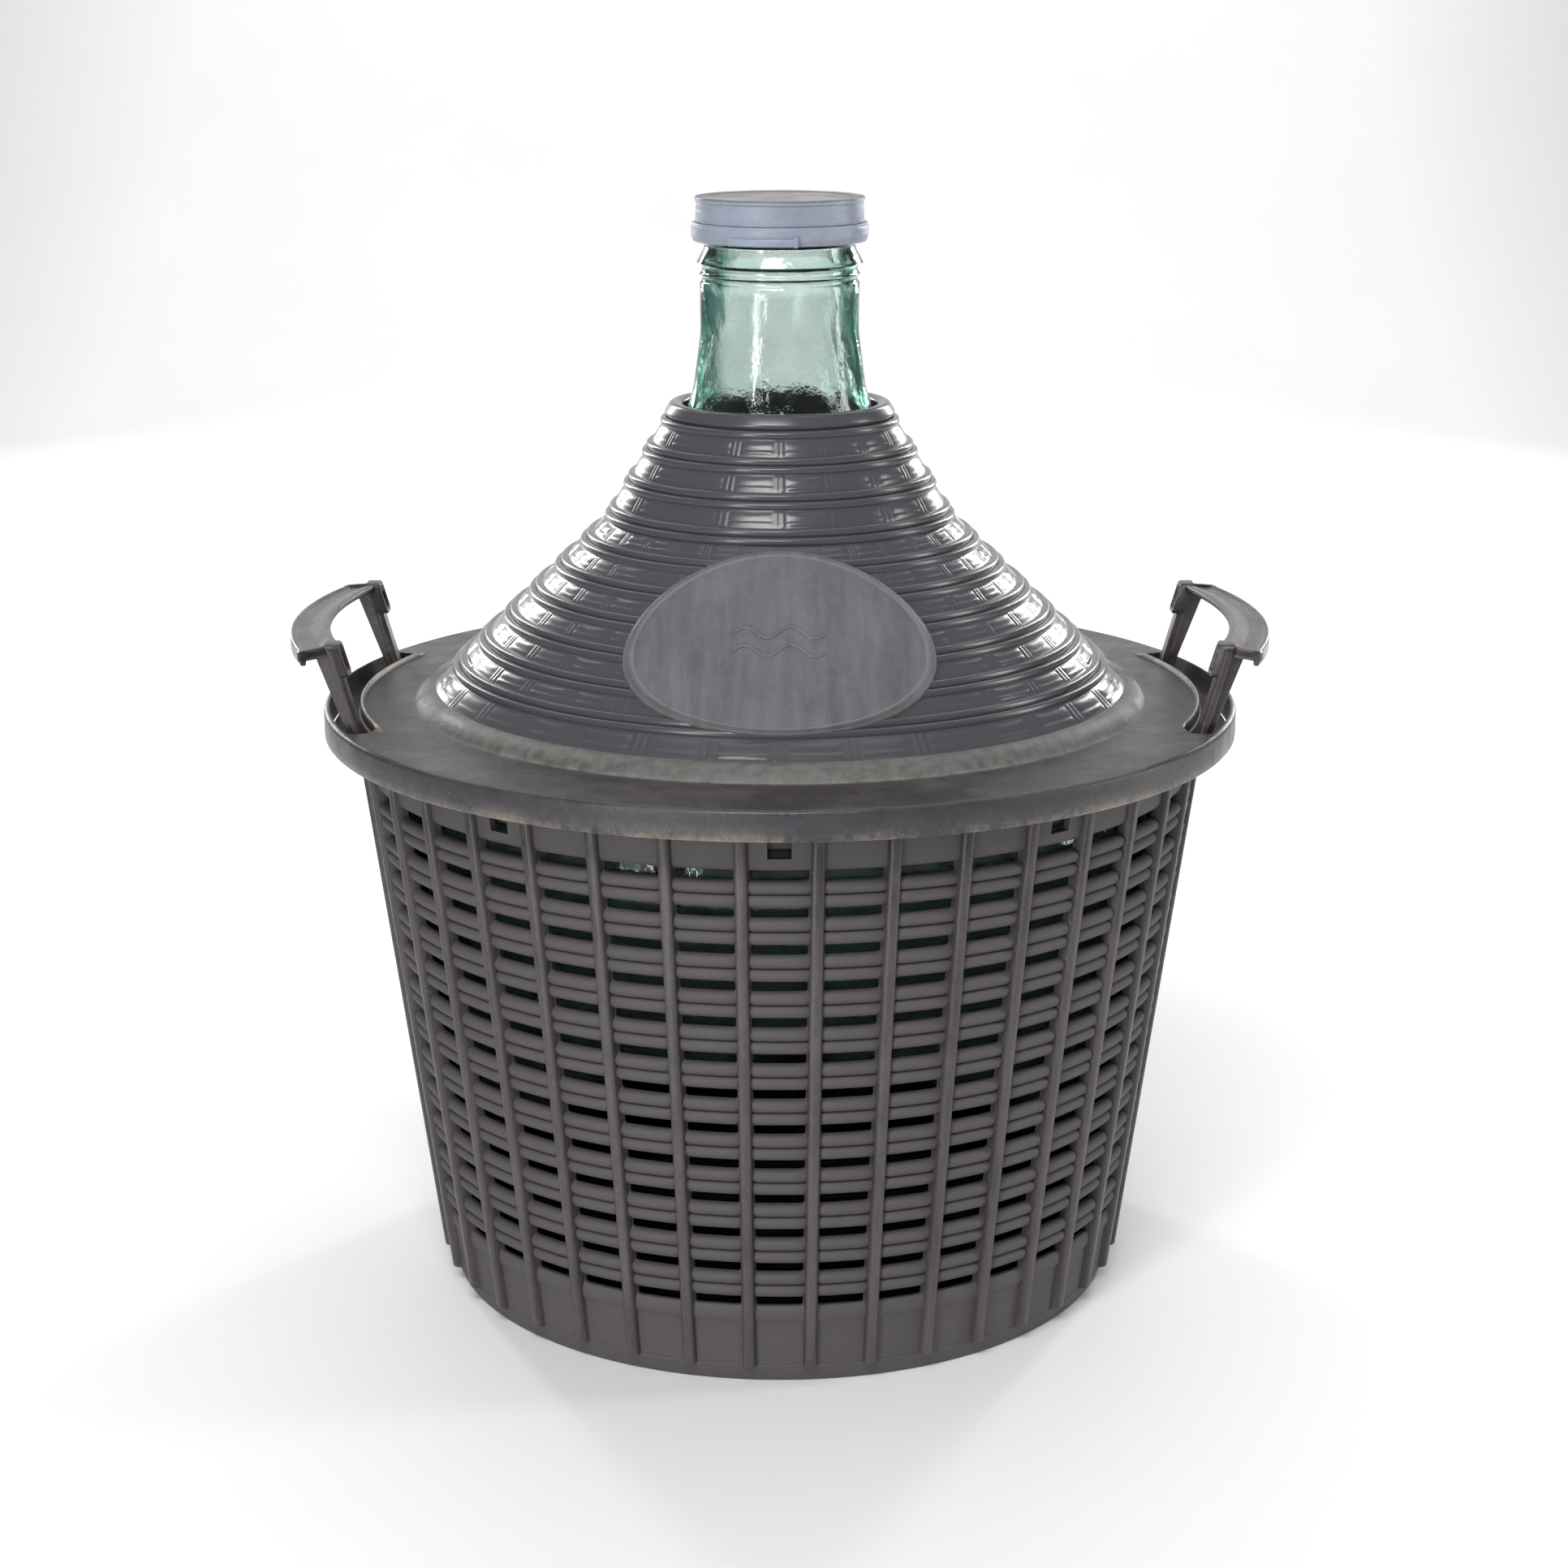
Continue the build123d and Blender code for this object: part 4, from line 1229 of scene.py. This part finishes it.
def sockets():
    """The hollow socket at each leg's head, a thin-walled box open towards the centre.

    Upright rounded rectangles are carried along X: out to in round the wall's mouth, then back
    to the socket's floor.
    """
    y_mid, z_mid = LEG_Y - 0.0008, GRIP_TOP - 0.0052
    wide, tall = np.array([0.0046, 0.0056]), np.array([0.0032, 0.0041])
    square = np.array([(-1, -1), (1, -1), (1, 1), (-1, 1)])
    outer = rounded(square * wide, 0.0016, 4)
    inner = rounded(square * tall, 0.0010, 4)
    mouth = math.sqrt((SKIRT_R - 0.0034) ** 2 - LEG_Y**2) - 0.0012
    loops = ((outer, 0.0045), (outer, 0.0004), (0.8 * outer + 0.2 * inner, 0.0))
    loops += ((0.2 * outer + 0.8 * inner, 0.0), (inner, 0.0004), (inner, 0.0036))
    parts = []
    for way in (-1, 1):
        rows = []
        for loop, depth in loops:
            lean = LEG_LEAN / LEG_RISE * loop[:, 1]
            y = way * (y_mid + loop[:, 0])
            rows.append(np.stack([mouth + depth + lean, y, z_mid + loop[:, 1]], -1))
        points, faces, marks = closed_grid(np.stack(rows), wrap_rows=False)
        count = len(outer)
        index = np.arange(len(points))
        faces += [index[:count][::-1].tolist(), index[-count:].tolist()]
        parts.append((points, faces, marks))
    return parts


def legs(sizes):
    """Two legs: a T section of strap and web whose web deepens upwards, leaning outwards."""
    hinge_x = math.sqrt(wall_r(HINGE_Z) ** 2 - (LEG_Y - sizes.leg_width / 2) ** 2) + 0.00325
    x_low = hinge_x - HINGE_R
    rise = np.array([0.0, 0.04, 0.35, 0.7, 1.0])
    z_top = GRIP_TOP - sizes.plate + 0.0006
    z = HINGE_Z + (z_top - HINGE_Z) * rise
    x = x_low + LEG_LEAN * rise
    thick, half = sizes.leg_thick, sizes.leg_width / 2
    parts = []
    for way in (-1, 1):
        loops = []
        for share in rise:
            depth = WEB_LOW + (WEB_HIGH - WEB_LOW) * share
            corners = [(0, -half), (thick, -half), (thick, -thick), (depth, -thick), (depth, 0)]
            corners += [(thick, 0), (thick, half), (0, half)]
            radii = (0.0007, 0.0007, 0.0008, 0.0007, 0.0007, 0.0008, 0.0007, 0.0007)
            loops.append(rounded(corners, radii, 3))
        loops = np.stack(loops, 1)
        y = way * LEG_Y + way * loops[..., 1]
        points = np.stack([x + loops[..., 0], y, z + 0 * y], -1)
        parts.append(closed_grid(points, wrap_columns=False, caps=True, worn=0.04))
        turn = np.arange(20) * TAU / 20
        circle = (hinge_x, HINGE_Z) + HINGE_R * np.stack([np.cos(turn), np.sin(turn)], -1)
        across = way * LEG_Y + np.linspace(-half, half, 3)
        root = np.stack(
            np.broadcast_arrays(circle[:, 0][:, None], across, circle[:, 1][:, None]), -1
        )
        parts.append(closed_grid(root, wrap_columns=False, caps=True))
    return parts


# ------------------------------------------------------------------ bottle


def keep_clear(start, end, gap):
    """A falling line of radius and height moved in by gap."""
    inward = -outward_of(start, end) * gap
    return start + inward, end + inward


def meeting(a, b, c, d):
    """The point where the line through a and b meets the line through c and d."""
    u, v, w = b - a, d - c, c - a
    return a + u * ((w[0] * v[1] - w[1] * v[0]) / (u[0] * v[1] - u[1] * v[0]))


def bottle_side(wall):
    """The bottle's body and neck outline, taken in by wall, from its base to its mouth."""
    low = np.array([wall_r(FLOOR_TOP) - SIDE_GAP, FLOOR_TOP])
    high = np.array([WALL_R_RIM - SIDE_GAP, BASKET_TOP])
    cone = keep_clear(KINK, CONE_FOOT, COVER_WALL + 0.0042)
    steep = keep_clear(CONE_TOP, KINK, COVER_WALL + 0.0042)
    shoulder = meeting(low, high, *cone)
    root = meeting(*cone, *steep)
    corners = [
        (0.092, FLOOR_TOP + wall),
        (low[0] - wall, FLOOR_TOP + wall),
        (shoulder[0] - wall, shoulder[1] - wall / 2),
        (root[0] - wall, root[1] - wall / 2),
        (NECK_R_LOW - wall, COVER_TOP + 0.001),
        (NECK_R - wall, COVER_TOP + 0.024),
        (NECK_R - wall, LOWER_RING_Z - 0.0013),
    ]
    radii = (0, 0.020 - wall, 0.034 - wall, 0.045, 0.040, 0.030, 0)
    return rounded(corners, radii, 12, closed=False)


def bottle_finish():
    """The outline above the neck: two rounded rings, a cone, the collar and the lip."""
    ring_low, ring_high = LOWER_RING_Z - 0.0013, LOWER_RING_Z + 0.0013
    bead_low, bead_high = BEAD_Z - 0.0018, BEAD_Z + 0.0018
    between_r = NECK_R + 0.0002
    lower = arc((NECK_R, ring_low), (NECK_R + 0.0023, LOWER_RING_Z), (between_r, ring_high), 8)
    bead = (between_r, bead_low), (NECK_R + 0.0033, BEAD_Z), (NECK_R + 0.0012, bead_high)
    upper = arc(*bead, 10)
    lip = [(COLLAR_R, COLLAR_Z), (COLLAR_R, COLLAR_Z + 0.0012), (MOUTH_R, COLLAR_Z + 0.0030)]
    lip += [(MOUTH_R, MOUTH_TOP), (BORE_R, MOUTH_TOP), (BORE_R, BEAD_Z + 0.001)]
    lip = rounded(lip, (0.001, 0.0005, 0.0008, 0.0014, 0.0012, 0), 5, closed=False)
    return lower, upper, lip


def ripple(angles, z, seed):
    """A slow unevenness: a sum of waves round the bottle and up it, between -1 and 1."""
    draw = np.random.default_rng(seed)
    total = np.zeros(np.broadcast(angles, z).shape)
    for count, climb in ((2, 18.0), (3, 31.0), (5, 47.0), (7, 83.0), (11, 140.0)):
        phase, other = draw.uniform(0, TAU, 2)
        total += np.sin(count * angles + climb * z + phase) * np.cos(climb * z * 0.7 + other)
    return total / 3.0


def bottle(sizes):
    """The bottle as one closed wall of glass: out round the foot, up, over the lip and down.

    Each radius is moved by the ripple, least at the mouth, more on the inside than outside.
    """
    outside = spaced(bottle_side(0.0), 0.0045)
    lower, upper, lip = bottle_finish()
    inside = spaced(bottle_side(sizes.wall), 0.0045)[::-1]
    punt = [(0.045, FLOOR_TOP + 0.0062), (0.0, FLOOR_TOP + 0.012)]
    punt_in = [(0.0, FLOOR_TOP + 0.0156), (0.045, FLOOR_TOP + 0.0098)]
    outline = np.vstack([punt[::-1], outside, lower, upper, lip, inside, punt_in[::-1]])
    angles = np.arange(168) * TAU / 168
    r, z = outline[:, 0][:, None], outline[:, 1][:, None]
    calm = smooth_step(z, BEAD_Z + 0.006, BEAD_Z - 0.01) * smooth_step(r, 0.0, 0.02)
    is_inside = np.arange(len(outline)) >= len(outline) - len(inside) - len(punt_in)
    gain = np.where(is_inside, 1.6, 0.5)[:, None]
    moved = sizes.ripple * calm * gain
    waves = np.where(is_inside[:, None], ripple(angles, z, 7), ripple(angles, z, 3))
    points = polar(r + moved * waves, angles, z)
    return closed_grid(points, wrap_rows=False)


# ------------------------------------------------------------------ cap


def cap(sizes):
    """The press-on cap: a thin skirt under a disc with a rounded, slightly overhanging edge."""
    disc_z = MOUTH_TOP
    skirt_in = CAP_R - sizes.skirt_wall
    corners = [(0, disc_z), (skirt_in, disc_z), (skirt_in, CAP_LOW), (CAP_R - 0.0002, CAP_LOW)]
    corners += [(CAP_R - 0.0006, disc_z), (CAP_R - 0.0001, disc_z + 0.0003), (CAP_R, CAP_HIGH)]
    sunk = CAP_HIGH - 0.0003
    corners += [(CAP_R - 0.004, CAP_HIGH), (CAP_R - 0.0046, sunk), (0, sunk)]
    radii = (0, 0.0004, 0.0003, 0.0004, 0.0003, 0.0003, 0.0005, 0.0003, 0.0003, 0)
    outline = rounded(corners, radii, 4)
    return ring(outline, 144)


def tear_strip(sizes):
    """The tear strip: a ring with a fine tearing groove, and the pull tab on its low edge."""
    r_out = STRIP_R
    r_in = r_out - sizes.strip_wall
    tab_r = r_out + 0.0011
    high = CAP_LOW
    corners = [(r_in, STRIP_LOW), (r_out - 0.0007, STRIP_LOW), (r_out - 0.0001, STRIP_LOW + 0.002)]
    corners += [(r_out, high - 0.0010), (r_out - 0.0003, high - 0.0008), (r_out - 0.0002, high)]
    corners += [(r_in, high)]
    radii = (0.0003, 0.0004, 0.001, 0.0002, 0.0002, 0.0003, 0.0002)
    parts = [ring(rounded(corners, radii, 3), 144)]
    half = sizes.tab_length / 2 / r_out
    tab = [(r_out - 0.001, STRIP_LOW), (tab_r, STRIP_LOW), (tab_r, STRIP_LOW + sizes.tab_height)]
    tab += [(r_out - 0.001, STRIP_LOW + sizes.tab_height + 0.0003)]
    centre = FRONT - half / 2
    outline = rounded(tab, (0.0003, 0.0005, 0.0005, 0.0003), 3)
    parts.append(sector(outline, centre - half, centre + half, 22))
    lug = np.array([(r_out - 0.001, STRIP_LOW - 0.0002), (tab_r + 0.0004, STRIP_LOW - 0.0002)])
    lug = np.vstack([lug, lug[::-1] + (0, 0.0036)])
    end = centre + half
    parts.append(sector(rounded(lug, 0.0004, 3), end - 0.0013 / r_out, end, 4))
    return parts


# ------------------------------------------------------------------ stage


def backdrop(width, front, back, height, bend):
    """A floor that curves up into a wall behind: a bent line carried sideways."""
    corners = [(-front, 0.0), (back, 0.0), (back, height)]
    path = rounded(corners, (0, bend, 0), 24, closed=False)
    across = np.array([-width, width])
    points = np.stack(np.broadcast_arrays(across[None, :], path[:, 0:1], path[:, 1:2]), -1)
    mesh = bpy.data.meshes.new("backdrop")
    faces = grid_faces(len(path), 2, False, False)[:, ::-1]
    mesh.from_pydata(points.reshape(-1, 3).tolist(), [], faces.tolist())
    mesh.shade_smooth()
    floor = bpy.data.objects.new("backdrop", mesh)
    bpy.context.scene.collection.objects.link(floor)
    return floor


def softbox(name, place, aim, size, power):
    """A rectangular area light that faces a point."""
    light = bpy.data.lights.new(name, "AREA")
    light.shape = "RECTANGLE"
    light.size, light.size_y = size
    light.energy = power
    lamp = bpy.data.objects.new(name, light)
    lamp.location = place
    lamp.rotation_mode = "QUATERNION"
    lamp.rotation_quaternion = (Vector(aim) - Vector(place)).to_track_quat("-Z", "Y")
    bpy.context.scene.collection.objects.link(lamp)
    return lamp


# ------------------------------------------------------------------ operators


def handle_pieces(sizes):
    """The parts of the right handle, as it stands on +X."""
    return grip(sizes) + sockets() + legs(sizes)


def basket_plastic(scene, name="basket_plastic", **changes):
    """The basket's plastic, with a painted sheen: lighter and bluish on the tops of the beads."""
    sizes = scene.demijohn_basket
    look = {"rough": (0.32, 0.50), "scratch": 0.3, "dust": 0.22, "bump": 0.6}
    # The colour of the painted sheen on the beads' tops
    look["cool"] = (0.085, 0.088, 0.098)
    return dusty(sizes.tint, scene.demijohn_cover.dust, name, **look, **changes)


def flange_plastic(scene):
    """The flange's browner plastic, bluish down its skirt."""
    sizes = scene.demijohn_cover
    look = {"rough": (0.32, 0.5), "dust": 0.09, "way": (60.0, 60.0, 60.0), "bump": 0.45}
    return dusty(sizes.flange_tint, sizes.dust, "flange_plastic", cool=sizes.skirt_tint, **look)


class DEMIJOHN_OT_basket_wall(bpy.types.Operator):
    """Builds the basket's tapered wall with its slots and clip windows"""

    bl_idname = "demijohn.basket_wall"
    bl_label = "Basket wall"

    def execute(self, context):
        sizes = context.scene.demijohn_basket
        finish = basket_plastic(context.scene)
        parts = [basket_wall(sizes)]
        add_piece("basket_wall", parts, finish, "basket", "basket")
        return {"FINISHED"}


class DEMIJOHN_OT_basket_ribs(bpy.types.Operator):
    """Builds the upright ribs round the wall"""

    bl_idname = "demijohn.basket_ribs"
    bl_label = "Basket ribs"

    def execute(self, context):
        sizes = context.scene.demijohn_basket
        finish = basket_plastic(context.scene, "rib_plastic", way=(260.0, 260.0, 9.0))
        parts = basket_ribs(sizes)
        add_piece("basket_ribs", parts, finish, "basket", "basket")
        return {"FINISHED"}


class DEMIJOHN_OT_basket_foot(bpy.types.Operator):
    """Builds the foot ring and the floor with its drain holes"""

    bl_idname = "demijohn.basket_foot"
    bl_label = "Basket foot"

    def execute(self, context):
        sizes = context.scene.demijohn_basket
        finish = basket_plastic(context.scene)
        parts = basket_foot(sizes)
        add_piece("basket_foot", parts, finish, "basket", "basket")
        return {"FINISHED"}


class DEMIJOHN_OT_basket_ledges(bpy.types.Operator):
    """Builds the ledges under the handles' roots"""

    bl_idname = "demijohn.basket_ledges"
    bl_label = "Basket ledges"

    def execute(self, context):
        sizes = context.scene.demijohn_basket
        finish = basket_plastic(context.scene)
        parts = basket_ledges(sizes)
        add_piece("basket_ledges", parts, finish, "basket", "basket")
        return {"FINISHED"}


class DEMIJOHN_OT_cover_cones(bpy.types.Operator):
    """Builds the cover's steep and wide woven cones"""

    bl_idname = "demijohn.cover_cones"
    bl_label = "Cover cones"

    def execute(self, context):
        sizes = context.scene.demijohn_cover
        look = {"rough": (0.20, 0.34), "dust": 0.06, "bump": 0.45}
        finish = dusty(sizes.tint, sizes.dust, "cover_plastic", **look)
        top = CONE_TOP + unit(KINK - CONE_TOP) * TOP_RING
        steep = cone_bands(np.hypot(*(KINK - top)), sizes.upper_rings, True, 0)
        wide = cone_bands(np.hypot(*(CONE_FOOT - KINK)), sizes.lower_rings, False, FOOT_BAND)
        upper = [woven_cone(top, KINK, steep, sizes.upper_uprights, False, sizes), cover_ring()]
        lower = [woven_cone(KINK, CONE_FOOT, wide, sizes.lower_uprights, True, sizes)]
        add_piece("cover_upper_cone", upper, finish, "cover", "cover")
        add_piece("cover_lower_cone", lower, finish, "cover", "cover")
        return {"FINISHED"}


class DEMIJOHN_OT_cover_flange(bpy.types.Operator):
    """Builds the hump, flange and skirt"""

    bl_idname = "demijohn.cover_flange"
    bl_label = "Cover flange"

    def execute(self, context):
        finish = flange_plastic(context.scene)
        parts = [cover_flange()]
        add_piece("cover_flange", parts, finish, "cover", "cover")
        return {"FINISHED"}


class DEMIJOHN_OT_cover_tongues(bpy.types.Operator):
    """Builds the tongues that hold the cover inside the basket's rim"""

    bl_idname = "demijohn.cover_tongues"
    bl_label = "Cover tongues"

    def execute(self, context):
        finish = flange_plastic(context.scene)
        parts = cover_tongues(context.scene.demijohn_basket)
        add_piece("cover_tongues", parts, finish, "cover", "cover")
        return {"FINISHED"}


class DEMIJOHN_OT_cover_panel(bpy.types.Operator):
    """Builds the smooth oval panel and its two wave lines"""

    bl_idname = "demijohn.cover_panel"
    bl_label = "Cover panel"

    def execute(self, context):
        sizes = context.scene.demijohn_cover
        look = {"rough": (0.44, 0.58), "dust": 0.12, "way": (160.0, 20.0, 20.0), "bump": 0.15}
        finish = dusty(sizes.panel_tint, sizes.dust, "panel_plastic", **look)
        parts = [cover_panel(sizes), *panel_waves(sizes)]
        add_piece("cover_panel", parts, finish, "cover", "cover")
        return {"FINISHED"}


class DEMIJOHN_OT_handles(bpy.types.Operator):
    """Builds both handles"""

    bl_idname = "demijohn.handles"
    bl_label = "Handles"

    def execute(self, context):
        sizes = context.scene.demijohn_handles
        dust = context.scene.demijohn_cover.dust
        look = {"rough": (0.24, 0.4), "way": (120.0, 30.0, 120.0), "dust": 0.12}
        finish = dusty(sizes.tint, dust, "handle_plastic", **look)
        for name, angle in zip(("handle_right", "handle_left"), SIDES):
            parts = [spun(part, angle) for part in handle_pieces(sizes)]
            add_piece(name + "_shell", parts, finish, name, name)
        return {"FINISHED"}


class DEMIJOHN_OT_bottle(bpy.types.Operator):
    """Builds the glass bottle"""

    bl_idname = "demijohn.bottle"
    bl_label = "Bottle"

    def execute(self, context):
        sizes = context.scene.demijohn_bottle
        glass = glass_material("bottle_glass", sizes.tint, sizes.depth, COVER_TOP + 0.004)
        parts = [bottle(sizes)]
        add_piece("bottle", parts, glass, "bottle", "glass_bottle", crease=60)
        return {"FINISHED"}


class DEMIJOHN_OT_cap(bpy.types.Operator):
    """Builds the press-on cap"""

    bl_idname = "demijohn.cap"
    bl_label = "Cap"

    def execute(self, context):
        sizes = context.scene.demijohn_cap
        finish = milky_material("cap_plastic", sizes.tint, sizes.top_tint, CAP_HIGH - 0.0006)
        add_piece("cap_lid", [cap(sizes)], finish, "cap", "cap")
        return {"FINISHED"}


class DEMIJOHN_OT_tear_strip(bpy.types.Operator):
    """Builds the cap's tear strip with its pull tab"""

    bl_idname = "demijohn.tear_strip"
    bl_label = "Tear strip"

    def execute(self, context):
        sizes = context.scene.demijohn_cap
        finish = milky_material("strip_plastic", sizes.tint, sizes.tint, CAP_HIGH)
        parts = tear_strip(sizes)
        add_piece("cap_strip", parts, finish, "cap", "cap_tear_strip")
        return {"FINISHED"}


class DEMIJOHN_OT_stage(bpy.types.Operator):
    """Builds the floor, the studio lights and the camera"""

    bl_idname = "demijohn.stage"
    bl_label = "Stage"

    def execute(self, context):
        sizes = context.scene.demijohn_stage
        floor = backdrop(width=6.0, front=12.0, back=3.0, height=4.0, bend=1.2)
        material, graph, shader = new_material("floor_paint")
        at = graph.add("ShaderNodeTexCoord", "Object")
        tone = graph.noise(at, 3.0, 3.0)
        base = graph.mix(tone, *FLOOR_TONES)
        # Painted shade: the floor turns dark grey from 0.7 m to 1.6 m out to each side, darkening
        # what the glass's edges show
        side = graph.math("ABSOLUTE", graph.add("ShaderNodeSeparateXYZ", "X", {0: at}))
        base = graph.mix(graph.spread(side, 0.7, 1.6), base, FLOOR_PAINTED_SHADE)
        graph.tree.links.new(base, shader.inputs["Base Color"])
        shader.inputs["Roughness"].default_value = 0.6
        floor.data.materials.append(material)
        for light in LIGHTS:
            softbox(*light)
        world = bpy.data.worlds.new("studio")
        context.scene.world = world
        world.use_nodes = True
        air = world.node_tree.nodes["Background"]
        air.inputs["Color"].default_value = (1.0, 1.0, 1.0, 1.0)
        air.inputs["Strength"].default_value = AIR_STRENGTH
        context.scene.view_settings.view_transform = "Standard"
        lens = bpy.data.cameras.new("camera")
        lens.sensor_width = 36.0
        lens.lens = sizes.focal
        camera = bpy.data.objects.new("camera", lens)
        camera.location = (sizes.camera_side, -sizes.camera_distance, sizes.camera_height)
        camera.rotation_euler = (math.pi / 2 - sizes.pitch, 0.0, 0.0)
        context.scene.collection.objects.link(camera)
        context.scene.camera = camera
        return {"FINISHED"}


class DEMIJOHN_PT_panel(bpy.types.Panel):
    """Lists the demijohn's pieces in the sidebar"""

    bl_label = "Demijohn"
    bl_idname = "DEMIJOHN_PT_panel"
    bl_space_type = "VIEW_3D"
    bl_region_type = "UI"
    bl_category = "Demijohn"

    def draw(self, context):
        for piece in PIECES:
            self.layout.operator(piece.bl_idname)


PIECES = (
    DEMIJOHN_OT_basket_wall,
    DEMIJOHN_OT_basket_ribs,
    DEMIJOHN_OT_basket_foot,
    DEMIJOHN_OT_basket_ledges,
    DEMIJOHN_OT_cover_cones,
    DEMIJOHN_OT_cover_flange,
    DEMIJOHN_OT_cover_tongues,
    DEMIJOHN_OT_cover_panel,
    DEMIJOHN_OT_handles,
    DEMIJOHN_OT_bottle,
    DEMIJOHN_OT_cap,
    DEMIJOHN_OT_tear_strip,
    DEMIJOHN_OT_stage,
)
SIZES = {
    "demijohn_basket": BasketSizes,
    "demijohn_cover": CoverSizes,
    "demijohn_handles": HandleSizes,
    "demijohn_bottle": BottleSizes,
    "demijohn_cap": CapSizes,
    "demijohn_stage": StageSizes,
}


def register():
    for group in SIZES.values():
        bpy.utils.register_class(group)
    for name, group in SIZES.items():
        setattr(bpy.types.Scene, name, bpy.props.PointerProperty(type=group))
    for piece in PIECES:
        bpy.utils.register_class(piece)
    bpy.utils.register_class(DEMIJOHN_PT_panel)


def unregister():
    bpy.utils.unregister_class(DEMIJOHN_PT_panel)
    for piece in reversed(PIECES):
        bpy.utils.unregister_class(piece)
    for name, group in SIZES.items():
        delattr(bpy.types.Scene, name)
        bpy.utils.unregister_class(group)


def main():
    register()
    bpy.ops.demijohn.basket_wall()
    bpy.ops.demijohn.basket_ribs()
    bpy.ops.demijohn.basket_foot()
    bpy.ops.demijohn.basket_ledges()
    bpy.ops.demijohn.cover_cones()
    bpy.ops.demijohn.cover_flange()
    bpy.ops.demijohn.cover_tongues()
    bpy.ops.demijohn.cover_panel()
    bpy.ops.demijohn.handles()
    bpy.ops.demijohn.bottle()
    bpy.ops.demijohn.cap()
    bpy.ops.demijohn.tear_strip()
    bpy.ops.demijohn.stage()


if __name__ == "__main__":
    main()
